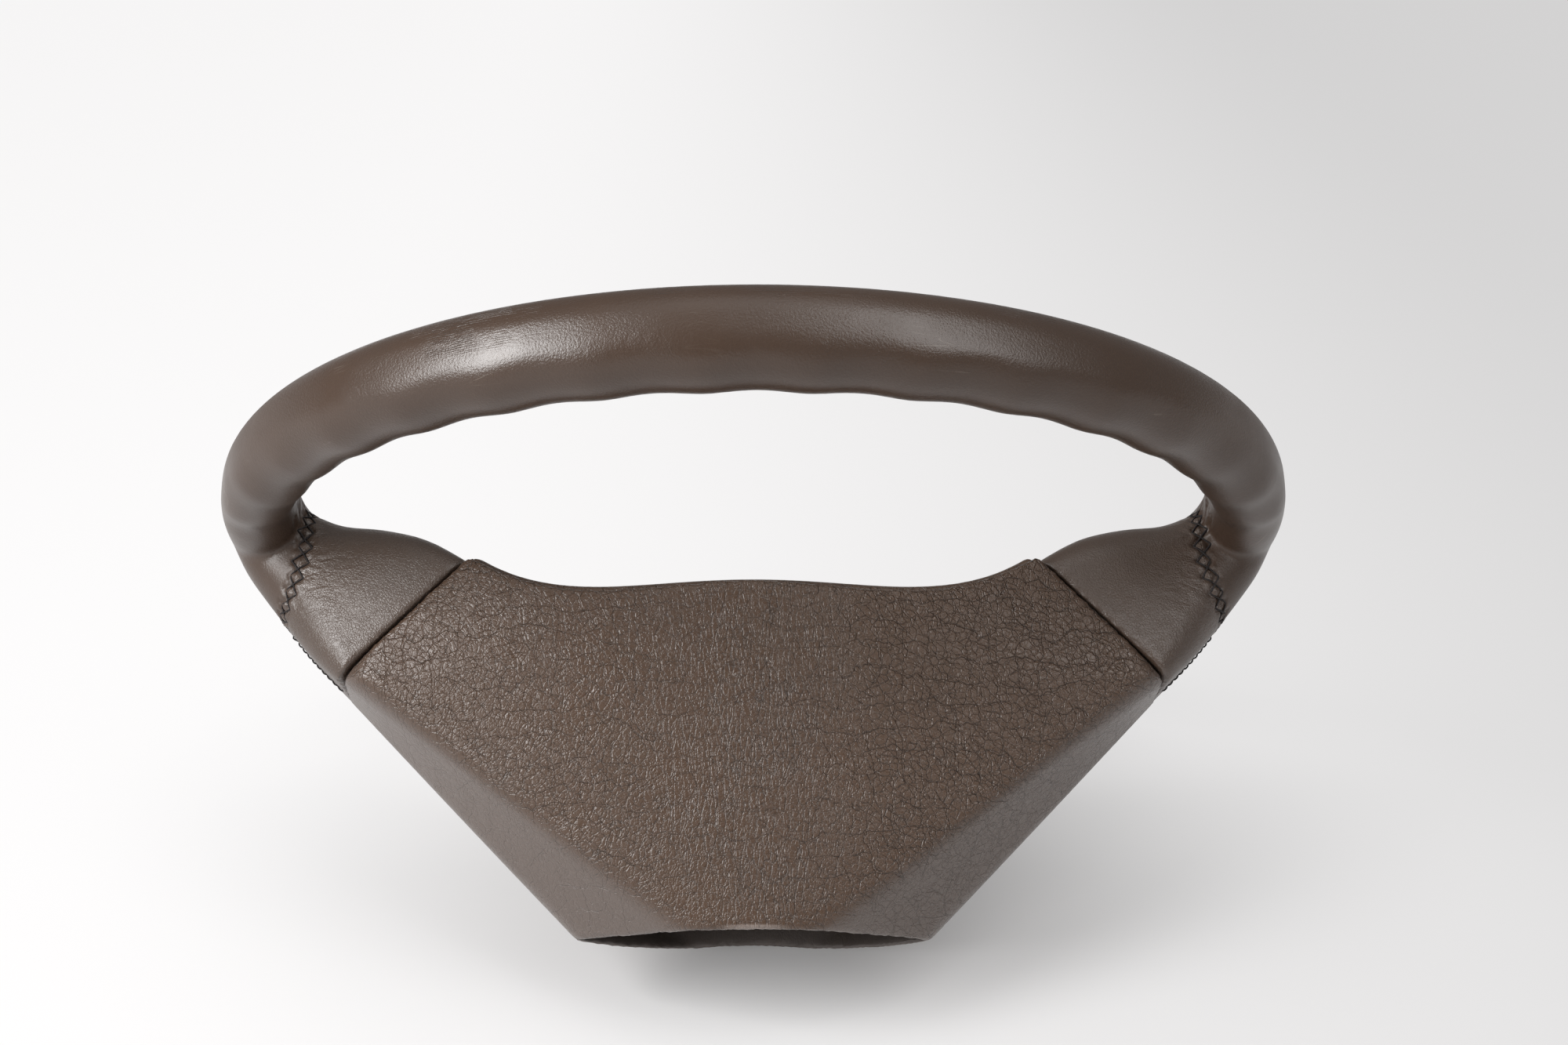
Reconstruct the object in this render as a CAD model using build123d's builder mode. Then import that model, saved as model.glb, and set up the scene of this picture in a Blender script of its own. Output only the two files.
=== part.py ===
from build123d import *
import os
from math import cos, radians, sin

os.makedirs("parts", exist_ok=True)

# Frame: X to the driver's right, Y rearward along the column, Z up to twelve o'clock.
# The origin is on the column axis, at the rear face of the hub boss. Sizes are in millimetres.

# Rim
rim_diameter = 385.0
rim_y = -105.0
grip_width = 27.4
grip_depth = 32.0
leather = 1.8
core_diameter = 11.0
core_wall = 1.5

# Finger hollows on the rear of the rim
finger_count = 36
finger_depth = 0.9
plain_pitches_at_spoke = 3

# Moulded hub: laws of its section from the mouth towards the rim
mouth_y = 46.5
mouth_half_width = 69.0
mouth_half_height = 34.0
mouth_ridge = 22.0
mouth_shoulder = 31.0
end_overlap = 2.1
ridge_set_in = 1.0
end_waist = 1.0
crown_rise = 0.1
shoulder_fall = 0.012
front_y = -92.0
front_overlap = 20.5
end_point = 4.0
ridge_round = 14.0
apex_round = 9.0
shroud_wall = 3.0
lip_lobe_x = 31.0
lip_lobe = 2.0
lip_end_rise = 11.0

# Front edge of the shroud and the seam to each spoke: places in Y, and runs in X inward from the rim
edge_centre_y = -72.1
edge_dip_y = -70.3
edge_dip_run = 112.8
seam_front_y = -84.2
seam_front_run = 77.3
seam_rear_y = -41.5
seam_rear_run = 32.8
seam_gap = 1.0

# Laced joint between the rim's leather and each spoke's leather: places in Y, and runs in X
lacing_front_y = -108.0
lacing_front_run = 12.8
lacing_rear_y = -65.0
lacing_rear_run = 5.8
lacing_gap = 0.6

# Spoke stations: reach from the seam, front edge, rear edge, front and rear half height, corner
spoke_root = (0.0, 0.0, 62.3, 34.0, 30.5, 8.0)
spoke_waist = (18.0, 4.5, 62.9, 31.0, 29.0, 9.0)
spoke_neck = (34.0, 12.2, 62.0, 25.5, 25.5, 10.0)
spoke_throat = (47.0, 21.8, 61.0, 21.5, 22.0, 9.0)
spoke_tip = (72.0, 32.0, 51.0, 16.0, 16.0, 7.0)

# Frame
plate_y = -22.5
plate_thickness = 5.0
plate_half_width = 50.0
plate_half_height = 30.0
plate_corner = 8.0
arm_knee_x = 56.0
arm_seam_y = -63.0
arm_root_half_height = 20.0
arm_tip_half_height = 13.0
post_x = 36.0
post_z = 20.0
post_radius = 5.0

# Hub boss and its rivets
bore_radius = 9.0
boss_radius = 17.0
boss_length = 36.0
flange_radius = 26.0
flange_thickness = 5.0
nut_seat_radius = 13.5
nut_seat_depth = 3.0
rivet_count = 4
rivet_circle_radius = 21.6
rivet_radius = 3.0
rivet_head_radius = 4.2
rivet_head = 2.0
fit_gap = 0.1

# Slip ring and cancelling cam behind the flange
carrier_radius = 33.0
carrier_thickness = 10.0
rivet_pocket_gap = 0.3
cam_radius = 21.0
cam_height = 6.0
cam_lug_radius = 25.0
cam_lug_width = 8.0
ring_inner_radius = 26.5
ring_outer_radius = 31.5
ring_thickness = 1.5
ring_sunk = 1.0

# Shroud lugs and all the frame's screws
lug_x = 43.0
lug_z = 25.0
lug_width = 12.0
lug_thickness = 4.0
lug_inner_z = 20.0
screw_radius = 2.0
screw_head_radius = 3.8
screw_head = 2.5
screw_bite = 8.0

# Contact plate
contact_plate_y = -48.0
sheet = 1.5
sheet_half_width = 62.0
sheet_half_height = 33.0
sheet_corner = 10.0
nut_window_radius = 19.0

# Horn pad, its plate, guides, contacts and springs
pad_rear_y = -67.0
pad_gap = 0.8
pad_proud = 0.6
pad_crown = 7.0
pad_dip_crown = 6.0
pad_end_crown = 5.0
pad_crown_half_height = 43.0
pad_edge_round = 2.0
horn_travel = 2.5
contact_spare = 0.1
stud_x = 52.0
stud_z = 18.0
stud_radius = 3.0
stud_shank = 2.2
stud_running_gap = 0.06
stud_tail = 3.0
bush_radius = 4.5
bush_flange_radius = 6.5
bush_flange = 2.0
bush_tail = 1.5
clip_thickness = 1.0
clip_radius = 5.2
clip_groove = 0.6
clip_mouth = 3.6
clip_play = 0.1
contact_x = 44.0
contact_radius = 3.5
contact_shank = 1.8
contact_head = 1.5
contact_tail = 3.0
insulator_radius = 6.0
insulator_neck = 3.8
insulator_thickness = 2.0
insulator_tail = 1.0
spring_half_span = 25.0
spring_strip = 0.8
spring_width = 8.0
spring_z = 27.5
spring_tail = 2.0
spring_play = 0.1

# Derived places
rim_radius = (rim_diameter - grip_width) / 2
core_radius = core_diameter / 2
edge_dip_x = rim_radius - edge_dip_run
seam_front_x = rim_radius - seam_front_run
seam_rear_x = rim_radius - seam_rear_run
lacing_front_x = rim_radius - lacing_front_run
lacing_rear_x = rim_radius - lacing_rear_run
front_ridge = seam_front_x + front_overlap
flare = (seam_rear_x + end_overlap - mouth_half_width) / (mouth_y - seam_rear_y)
ridge_flare = (seam_rear_x - ridge_set_in - mouth_ridge) / (mouth_y - seam_rear_y)
seam_middle_x = (seam_front_x + seam_rear_x) / 2
plate_front_y = plate_y - plate_thickness
flange_rear_y = plate_y + flange_thickness
carrier_rear_y = flange_rear_y + carrier_thickness
lug_rear_y = plate_y + lug_thickness
contact_front_y = contact_plate_y - sheet
insulator_front_y = contact_front_y - insulator_thickness
pad_plate_rear_y = pad_rear_y + sheet
bush_rear_y = contact_plate_y + bush_tail
clip_front_y = bush_rear_y + clip_play
clip_rear_y = clip_front_y + clip_thickness
stud_end_y = clip_rear_y + stud_tail
fixed_contact_y = insulator_front_y - contact_head
moving_contact_y = fixed_contact_y - horn_travel - contact_spare
pitch_angle = 360 / finger_count
plain_angle = plain_pitches_at_spoke * pitch_angle
lip_reach = 3 * lip_lobe_x
through = rim_diameter


def level(y):
    """A plane across the column at depth y, with X across and Z up, facing the driver."""
    return Plane.XZ.offset(-y)


def four(x, z):
    """Places mirrored into the four quarters around the column."""
    return Locations((x, z), (-x, z), (-x, -z), (x, -z))


def upright_plane(start, end, shift):
    """A plane through two places in X and Y, parallel to Z, moved outward to the right by shift."""
    run = Vector(end[0] - start[0], end[1] - start[1], 0).normalized()
    outward = Vector(run.Y, -run.X, 0)
    return Plane(origin=Vector(start[0], start[1], 0) + outward * shift, x_dir=run, z_dir=outward)


def seam_plane(shift):
    """The seam between shroud and right-hand spoke, moved outward by shift."""
    return upright_plane((seam_front_x, seam_front_y), (seam_rear_x, seam_rear_y), shift)


def lacing_plane(shift):
    """The laced joint of the right-hand spoke, moved outward by shift."""
    return upright_plane((lacing_front_x, lacing_front_y), (lacing_rear_x, lacing_rear_y), shift)


def left_of(plane):
    """The same plane on the left-hand side, also facing outward."""
    return Plane(
        origin=(-plane.origin.X, plane.origin.Y, 0),
        x_dir=(-plane.x_dir.X, plane.x_dir.Y, 0),
        z_dir=(-plane.z_dir.X, plane.z_dir.Y, 0),
    )


def radial_plane(angle):
    """A plane through the column axis, at an angle from twelve o'clock towards the right."""
    side = sin(radians(angle))
    up = cos(radians(angle))
    return Plane(origin=(0, 0, 0), x_dir=(side, 0, up), z_dir=(-up, 0, side))


def grip_section(angle, inset=0, hollow=0):
    """The grip's oval section at an angle from twelve o'clock, its rear half set in by hollow."""
    radius = grip_width / 2 - inset
    front = rim_y - (grip_depth - grip_width) / 2
    rear = rim_y + (grip_depth - grip_width) / 2 - hollow
    with BuildSketch(radial_plane(angle)) as section:
        with BuildLine():
            nose = CenterArc((rim_radius, front), radius, 180, 180)
            back = CenterArc((rim_radius, rear), radius, 0, 180)
            Line(nose @ 1, back @ 0)
            Line(back @ 1, nose @ 0)
        make_face()
    return section.sketch


def grip_ring(inset):
    """The whole grip without finger hollows, drawn in by inset."""
    section = grip_section(plain_angle, inset)
    with BuildPart() as form:
        add(section)
        revolve(axis=Axis.Y)
    return form.part


def core_ring(radius):
    """A ring of round bar on the rim's centre line."""
    with BuildPart() as form:
        with BuildSketch(radial_plane(plain_angle)):
            with Locations((rim_radius, rim_y)):
                Circle(radius)
        revolve(axis=Axis.Y)
    return form.part


def hub_section(y, ridge, end, inset):
    """One section of the moulded hub: crowned flanks, soft ridges and pointed ends."""
    crown = mouth_half_height + crown_rise * (mouth_y - y)
    shoulder = mouth_shoulder - shoulder_fall * (mouth_y - y)
    with BuildSketch(level(y)) as section:
        with BuildLine():
            ThreePointArc((ridge, shoulder), (0, crown), (-ridge, shoulder))
            Polyline((-ridge, shoulder), (-end, 0), (-ridge, -shoulder))
            ThreePointArc((-ridge, -shoulder), (0, -crown), (ridge, -shoulder))
            Polyline((ridge, -shoulder), (end, 0), (ridge, shoulder))
        make_face()
        fillet(section.vertices().filter_by(lambda v: abs(v.Y) < shoulder / 2), apex_round)
        fillet(section.vertices().filter_by(lambda v: abs(v.Y) > shoulder - 0.01), ridge_round)
        if inset:
            offset(amount=-inset, mode=Mode.REPLACE)
    return section.sketch


def hub_form(inset):
    """The hub's form from its front to just past its mouth, drawn in by inset."""
    lip_y = mouth_y + 2 * lip_lobe
    rear_sections = []
    for y, waist in ((lip_y, 0), ((lip_y + seam_rear_y) / 2, end_waist), (seam_rear_y, 0)):
        ridge = mouth_ridge + ridge_flare * (mouth_y - y)
        end = mouth_half_width + flare * (mouth_y - y) - waist
        rear_sections.append(hub_section(y, ridge, end, inset))
    front_section = hub_section(front_y, front_ridge, front_ridge + end_point, inset)
    with BuildPart() as form:
        loft(sections=rear_sections)
        loft(sections=[rear_sections[-1], front_section], ruled=True)
    return form.part


def spoke_form(inset):
    """The right-hand spoke from the seam to inside the rim, drawn in by inset."""
    sections = []
    for reach, front, rear, front_half, rear_half, corner in (
        spoke_root, spoke_waist, spoke_neck, spoke_throat, spoke_tip
    ):
        with BuildSketch(seam_plane(reach)) as section:
            with BuildLine():
                Polyline(
                    (front, front_half), (rear, rear_half), (rear, -rear_half), (front, -front_half),
                    close=True,
                )
            make_face()
            fillet(section.vertices(), corner)
            if inset:
                offset(amount=-inset, mode=Mode.REPLACE)
        sections.append(section.sketch)
    with BuildPart() as form:
        loft(sections=sections)
    return form.part


grip_outer = grip_ring(0)
grip_inner = grip_ring(leather)
core_bar = core_ring(core_radius)
right_outer = spoke_form(0)
right_inner = spoke_form(leather)
left_inner = mirror(right_inner, about=Plane.YZ)
hub_outer = hub_form(0)
hub_inner = hub_form(shroud_wall)
pad_form = hub_form(shroud_wall + pad_gap)

# Steel tube bent into a ring, the core of the rim
with BuildPart() as rim_core:
    add(core_bar)
    add(core_ring(core_radius - core_wall), mode=Mode.SUBTRACT)

# Two arms in one bent strip, tapering to the rim
with BuildPart() as arms:
    arm_line = [(0, plate_y), (arm_knee_x, plate_y), (seam_middle_x, arm_seam_y)]
    with BuildSketch(Plane.XY):
        with BuildLine():
            rear_side = arm_line + [(rim_radius, rim_y + plate_thickness / 2)]
            front_side = [(x, y - plate_thickness) for x, y in reversed(rear_side)]
            Polyline(*rear_side, *front_side, close=True)
        make_face()
        mirror(about=Plane.YZ)
    extrude(amount=arm_root_half_height, both=True)
    with BuildSketch(Plane.XZ):
        with BuildLine():
            Polyline(
                (0, arm_root_half_height), (arm_knee_x, arm_root_half_height),
                (rim_radius, arm_tip_half_height), (rim_radius, -arm_tip_half_height),
                (arm_knee_x, -arm_root_half_height), (0, -arm_root_half_height), close=True,
            )
        make_face()
        mirror(about=Plane.YZ)
    extrude(amount=through, both=True, mode=Mode.INTERSECT)
    add(core_bar, mode=Mode.SUBTRACT)

# Frame: the arms on a centre plate, with posts for the horn's contact plate
with BuildPart() as spoke_frame:
    with BuildSketch(level(plate_y)):
        RectangleRounded(2 * plate_half_width, 2 * plate_half_height, plate_corner)
    extrude(amount=plate_thickness)
    add(arms.part)
    with BuildSketch(level(plate_front_y)):
        with four(post_x, post_z):
            Circle(post_radius)
    extrude(amount=plate_front_y - contact_plate_y)
    with BuildSketch(level(plate_y)):
        Circle(boss_radius + fit_gap)
        with PolarLocations(rivet_circle_radius, rivet_count, start_angle=45):
            Circle(rivet_radius + fit_gap)
        with four(lug_x, lug_z):
            Circle(screw_radius + fit_gap)
    extrude(amount=plate_thickness, mode=Mode.SUBTRACT)
    with BuildSketch(level(contact_plate_y)):
        with four(post_x, post_z):
            Circle(screw_radius + fit_gap)
    extrude(amount=-screw_bite - 1, mode=Mode.SUBTRACT)

# Turned boss with the column bore, a seat for the nut and the flange behind the plate
with BuildPart() as hub_boss:
    with BuildSketch(Plane.XY):
        with BuildLine():
            Polyline(
                (bore_radius, 0), (boss_radius, 0), (boss_radius, flange_rear_y),
                (flange_radius, flange_rear_y), (flange_radius, plate_y), (boss_radius, plate_y),
                (boss_radius, -boss_length), (nut_seat_radius, -boss_length),
                (nut_seat_radius, nut_seat_depth - boss_length),
                (bore_radius, nut_seat_depth - boss_length), close=True,
            )
        make_face()
    revolve(axis=Axis.Y)
    with BuildSketch(level(flange_rear_y)):
        with PolarLocations(rivet_circle_radius, rivet_count, start_angle=45):
            Circle(rivet_radius + fit_gap)
    extrude(amount=flange_thickness, mode=Mode.SUBTRACT)

with BuildPart() as hub_rivets:
    with BuildSketch(level(flange_rear_y + rivet_head)):
        with PolarLocations(rivet_circle_radius, rivet_count, start_angle=45):
            Circle(rivet_head_radius)
    extrude(amount=rivet_head)
    with BuildSketch(level(plate_front_y)):
        with PolarLocations(rivet_circle_radius, rivet_count, start_angle=45):
            Circle(rivet_head_radius)
    extrude(amount=rivet_head)
    with BuildSketch(level(flange_rear_y)):
        with PolarLocations(rivet_circle_radius, rivet_count, start_angle=45):
            Circle(rivet_radius)
    extrude(amount=flange_thickness + plate_thickness)

# Foam moulded round the core and the arms, rim and spokes in one
with BuildPart() as rim_foam:
    add(grip_inner)
    add(right_inner)
    add(left_inner)
    add(core_bar, mode=Mode.SUBTRACT)
    add(arms.part, mode=Mode.SUBTRACT)

# One finger hollow of the grip at twelve o'clock, from crest to crest
with BuildPart() as finger:
    loft(
        sections=[
            grip_section(-pitch_angle / 2),
            grip_section(0, hollow=finger_depth),
            grip_section(pitch_angle / 2),
        ]
    )

# Smooth stretches of the grip at the two spokes
with BuildPart() as plain_stretches:
    for spoke_angle in (90, 270):
        add(grip_section(spoke_angle - plain_angle / 2))
        revolve(axis=Axis.Y, revolution_arc=plain_angle)

# Ends of the spokes that the rim's leather covers, outside each laced joint
with BuildPart() as right_end:
    add(right_outer)
    split(bisect_by=lacing_plane(lacing_gap / 2), keep=Keep.TOP)

# Leather round the rim with its finger hollows, carried down over the ends of the spokes
with BuildPart() as rim_leather:
    add(plain_stretches.part)
    fingers_each_half = finger_count // 2 - plain_pitches_at_spoke
    for half_turn in (0, 180):
        for step in range(fingers_each_half):
            angle = half_turn + (step - (fingers_each_half - 1) / 2) * pitch_angle
            with Locations(Location((0, 0, 0), (0, angle, 0))):
                add(finger.part)
    add(right_end.part)
    add(mirror(right_end.part, about=Plane.YZ, mode=Mode.PRIVATE))
    add(grip_inner, mode=Mode.SUBTRACT)
    add(right_inner, mode=Mode.SUBTRACT)
    add(left_inner, mode=Mode.SUBTRACT)

# Leather sleeve of the right-hand spoke, from the seam to the laced joint
with BuildPart() as spoke_leather_right:
    add(right_outer)
    add(right_inner, mode=Mode.SUBTRACT)
    add(grip_outer, mode=Mode.SUBTRACT)
    split(bisect_by=lacing_plane(-lacing_gap / 2), keep=Keep.BOTTOM)

with BuildPart() as spoke_leather_left:
    add(mirror(spoke_leather_right.part, about=Plane.YZ, mode=Mode.PRIVATE))

# Lugs inside the shroud, flat on the frame's plate
with BuildPart() as lugs:
    with BuildSketch(level(lug_rear_y)):
        with four(lug_x, (lug_inner_z + through) / 2):
            Rectangle(lug_width, through - lug_inner_z)
        with four(lug_x, lug_z):
            Circle(screw_radius + fit_gap, mode=Mode.SUBTRACT)
    extrude(amount=lug_thickness)
    add(hub_outer, mode=Mode.INTERSECT)

# Rear shroud: a moulded funnel from the pad and the spokes down to the column
with BuildPart() as rear_shroud:
    add(hub_outer)
    add(hub_inner, mode=Mode.SUBTRACT)
    add(lugs.part)
    with BuildSketch(Plane.XY):
        with BuildLine():
            edge = Spline(
                (-seam_rear_x, 2 * seam_front_y), (-seam_front_x, seam_front_y),
                (-edge_dip_x, edge_dip_y), (0, edge_centre_y), (edge_dip_x, edge_dip_y),
                (seam_front_x, seam_front_y), (seam_rear_x, 2 * seam_front_y),
            )
            Line(edge @ 1, edge @ 0)
        make_face()
    extrude(amount=through, both=True, mode=Mode.SUBTRACT)
    split(bisect_by=seam_plane(-seam_gap), keep=Keep.BOTTOM)
    split(bisect_by=left_of(seam_plane(-seam_gap)), keep=Keep.BOTTOM)
    with BuildSketch(Plane.XY):
        with Locations((0, mouth_y)):
            Rectangle(through, through, align=(Align.CENTER, Align.MIN))
    extrude(amount=through, mode=Mode.SUBTRACT)
    with BuildSketch(Plane.XY):
        with BuildLine():
            lip = Spline(
                (-lip_reach, mouth_y - lip_end_rise), (-lip_lobe_x, mouth_y), (0, mouth_y - lip_lobe),
                (lip_lobe_x, mouth_y), (lip_reach, mouth_y - lip_end_rise),
            )
            Polyline(lip @ 1, (lip_reach, through), (-lip_reach, through), lip @ 0)
        make_face()
    extrude(amount=-through, mode=Mode.SUBTRACT)

with BuildPart() as shroud_screws:
    with BuildSketch(level(lug_rear_y + screw_head)):
        with four(lug_x, lug_z):
            Circle(screw_head_radius)
    extrude(amount=screw_head)
    with BuildSketch(level(lug_rear_y)):
        with four(lug_x, lug_z):
            Circle(screw_radius)
    extrude(amount=lug_thickness + plate_thickness)

# Slip ring carrier with the turn signal's cancelling cam, pressed over the boss
with BuildPart() as slip_ring_carrier:
    with BuildSketch(level(carrier_rear_y)):
        Circle(carrier_radius)
    extrude(amount=carrier_thickness)
    with BuildSketch(level(carrier_rear_y + cam_height)):
        Circle(cam_radius)
        Rectangle(2 * cam_lug_radius, cam_lug_width)
    extrude(amount=cam_height)
    with BuildSketch(level(carrier_rear_y + cam_height)):
        Circle(boss_radius + fit_gap)
    extrude(amount=cam_height + carrier_thickness, mode=Mode.SUBTRACT)
    with BuildSketch(level(flange_rear_y + rivet_head + rivet_pocket_gap)):
        with PolarLocations(rivet_circle_radius, rivet_count, start_angle=45):
            Circle(rivet_head_radius + rivet_pocket_gap)
    extrude(amount=rivet_head + rivet_pocket_gap, mode=Mode.SUBTRACT)
    with BuildSketch(level(carrier_rear_y)):
        Circle(ring_outer_radius + fit_gap)
        Circle(ring_inner_radius - fit_gap, mode=Mode.SUBTRACT)
    extrude(amount=ring_sunk, mode=Mode.SUBTRACT)

with BuildPart() as slip_ring:
    with BuildSketch(level(carrier_rear_y - ring_sunk + ring_thickness)):
        Circle(ring_outer_radius)
        Circle(ring_inner_radius, mode=Mode.SUBTRACT)
    extrude(amount=ring_thickness)

# Contact plate on the frame's posts, with a window for the column nut
with BuildPart() as contact_plate:
    with BuildSketch(level(contact_plate_y)):
        RectangleRounded(2 * sheet_half_width, 2 * sheet_half_height, sheet_corner)
        Circle(nut_window_radius, mode=Mode.SUBTRACT)
        with four(post_x, post_z):
            Circle(screw_radius + fit_gap, mode=Mode.SUBTRACT)
        with four(stud_x, stud_z):
            Circle(bush_radius + fit_gap, mode=Mode.SUBTRACT)
        with Locations((contact_x, 0), (-contact_x, 0)):
            Circle(insulator_neck + fit_gap, mode=Mode.SUBTRACT)
        with four(spring_half_span - spring_strip / 2, spring_z):
            Rectangle(spring_strip + 2 * fit_gap, spring_width + 2 * fit_gap, mode=Mode.SUBTRACT)
    extrude(amount=sheet)

with BuildPart() as plate_screws:
    with BuildSketch(level(contact_front_y)):
        with four(post_x, post_z):
            Circle(screw_head_radius)
    extrude(amount=screw_head)
    with BuildSketch(level(contact_plate_y + screw_bite)):
        with four(post_x, post_z):
            Circle(screw_radius)
    extrude(amount=screw_bite + sheet)

# Guide bushes for the pad's studs
with BuildPart() as guide_bushes:
    with BuildSketch(level(contact_front_y)):
        with four(stud_x, stud_z):
            Circle(bush_flange_radius)
    extrude(amount=bush_flange)
    with BuildSketch(level(bush_rear_y)):
        with four(stud_x, stud_z):
            Circle(bush_radius)
    extrude(amount=bush_tail + sheet)
    with BuildSketch(level(bush_rear_y)):
        with four(stud_x, stud_z):
            Circle(stud_radius + stud_running_gap)
    extrude(amount=bush_tail + sheet + bush_flange, mode=Mode.SUBTRACT)

# Fixed horn contacts in insulating washers
with BuildPart() as contact_insulators:
    with BuildSketch(level(contact_front_y)):
        with Locations((contact_x, 0), (-contact_x, 0)):
            Circle(insulator_radius)
    extrude(amount=insulator_thickness)
    with BuildSketch(level(contact_plate_y + insulator_tail)):
        with Locations((contact_x, 0), (-contact_x, 0)):
            Circle(insulator_neck)
    extrude(amount=insulator_tail + sheet)
    with BuildSketch(level(contact_plate_y + insulator_tail)):
        with Locations((contact_x, 0), (-contact_x, 0)):
            Circle(contact_shank + fit_gap)
    extrude(amount=insulator_tail + sheet + insulator_thickness, mode=Mode.SUBTRACT)

with BuildPart() as fixed_contacts:
    with BuildSketch(level(insulator_front_y)):
        with Locations((contact_x, 0), (-contact_x, 0)):
            Circle(contact_radius)
    extrude(amount=contact_head)
    with BuildSketch(level(contact_plate_y + contact_tail)):
        with Locations((contact_x, 0), (-contact_x, 0)):
            Circle(contact_shank)
    extrude(amount=contact_tail + sheet + insulator_thickness)

# Bowed leaf springs, hooked into slots of the contact plate
with BuildPart() as horn_springs:
    for z in (spring_z, -spring_z):
        with BuildSketch(Plane.XY.offset(z)):
            with BuildLine():
                inner_span = spring_half_span - spring_strip
                spring_top_y = pad_plate_rear_y + spring_play
                tail_y = contact_plate_y + spring_tail
                bow = ThreePointArc(
                    (-spring_half_span, contact_front_y), (0, spring_top_y),
                    (spring_half_span, contact_front_y),
                )
                under = ThreePointArc(
                    (-inner_span, contact_front_y), (0, spring_top_y + spring_strip),
                    (inner_span, contact_front_y),
                )
                Polyline(bow @ 1, (spring_half_span, tail_y), (inner_span, tail_y), under @ 1)
                Polyline(bow @ 0, (-spring_half_span, tail_y), (-inner_span, tail_y), under @ 0)
            make_face()
        extrude(amount=spring_width / 2, both=True)

# Steel plate moulded to the back of the pad
with BuildPart() as pad_plate:
    with BuildSketch(level(pad_plate_rear_y)):
        RectangleRounded(2 * sheet_half_width, 2 * sheet_half_height, sheet_corner)
        with four(stud_x, stud_z):
            Circle(stud_shank + fit_gap, mode=Mode.SUBTRACT)
        with Locations((contact_x, 0), (-contact_x, 0)):
            Circle(contact_shank + fit_gap, mode=Mode.SUBTRACT)
    extrude(amount=sheet)

with BuildPart() as guide_studs:
    with BuildSketch(level(stud_end_y)):
        with four(stud_x, stud_z):
            Circle(stud_radius)
    extrude(amount=stud_end_y - pad_plate_rear_y)
    with BuildSketch(level(pad_plate_rear_y)):
        with four(stud_x, stud_z):
            Circle(stud_shank)
    extrude(amount=sheet)
    with BuildSketch(level(clip_rear_y + fit_gap / 2)):
        with four(stud_x, stud_z):
            Circle(stud_radius)
            Circle(stud_radius - clip_groove, mode=Mode.SUBTRACT)
    extrude(amount=clip_thickness + fit_gap, mode=Mode.SUBTRACT)

with BuildPart() as stud_circlips:
    with BuildSketch(level(clip_rear_y)):
        with four(stud_x, stud_z):
            Circle(clip_radius)
        with four(stud_x, stud_z):
            Circle(stud_radius - clip_groove + fit_gap, mode=Mode.SUBTRACT)
        with four(stud_x, stud_z - clip_radius / 2):
            Rectangle(clip_mouth, clip_radius, mode=Mode.SUBTRACT)
    extrude(amount=clip_thickness)

with BuildPart() as moving_contacts:
    with BuildSketch(level(moving_contact_y)):
        with Locations((contact_x, 0), (-contact_x, 0)):
            Circle(contact_radius)
    extrude(amount=moving_contact_y - pad_plate_rear_y)
    with BuildSketch(level(pad_plate_rear_y)):
        with Locations((contact_x, 0), (-contact_x, 0)):
            Circle(contact_shank)
    extrude(amount=sheet)

# Horn pad, nested in the shroud's front and crowned towards the driver
with BuildPart() as horn_pad:
    half_stations = [
        (edge_dip_x, edge_dip_y, pad_dip_crown), (seam_front_x, seam_front_y, pad_end_crown),
        (seam_rear_x, 2 * seam_front_y, pad_end_crown),
    ]
    left_stations = [(-x, edge_y, crown) for x, edge_y, crown in reversed(half_stations)]
    for x, edge_y, crown in left_stations + [(0, edge_centre_y, pad_crown)] + half_stations:
        with BuildSketch(Plane.YZ.offset(x)):
            with BuildLine():
                brow_y = edge_y - pad_proud
                brow = ThreePointArc(
                    (brow_y, -pad_crown_half_height), (brow_y - crown, 0), (brow_y, pad_crown_half_height)
                )
                Polyline(
                    brow @ 1, (plate_y, pad_crown_half_height), (plate_y, -pad_crown_half_height), brow @ 0
                )
            make_face()
    loft()
    add(pad_form, mode=Mode.INTERSECT)
    split(bisect_by=level(pad_rear_y), keep=Keep.TOP)
    split(bisect_by=seam_plane(-seam_gap - pad_gap), keep=Keep.BOTTOM)
    split(bisect_by=left_of(seam_plane(-seam_gap - pad_gap)), keep=Keep.BOTTOM)
    front = horn_pad.faces().sort_by(Axis.Y)[0]
    fillet(front.edges(), pad_edge_round)

pieces = {
    "rim_core": rim_core, "spoke_frame": spoke_frame, "hub_boss": hub_boss, "hub_rivets": hub_rivets,
    "rim_foam": rim_foam, "rim_leather": rim_leather, "spoke_leather_right": spoke_leather_right,
    "spoke_leather_left": spoke_leather_left, "rear_shroud": rear_shroud,
    "shroud_screws": shroud_screws, "slip_ring_carrier": slip_ring_carrier, "slip_ring": slip_ring,
    "contact_plate": contact_plate, "plate_screws": plate_screws, "guide_bushes": guide_bushes,
    "contact_insulators": contact_insulators, "fixed_contacts": fixed_contacts,
    "horn_springs": horn_springs, "pad_plate": pad_plate, "guide_studs": guide_studs,
    "stud_circlips": stud_circlips, "moving_contacts": moving_contacts, "horn_pad": horn_pad,
}
for name, piece in pieces.items():
    piece.part.label = name
    export_step(piece.part, f"parts/{name}.step")
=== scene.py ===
import math

import bmesh
import bpy
from bpy.props import FloatProperty, FloatVectorProperty, IntProperty, PointerProperty
from bpy.types import Operator, Panel, PropertyGroup
from mathutils import Matrix, Vector, noise
from mathutils.bvhtree import BVHTree
from mathutils.kdtree import KDTree


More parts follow.
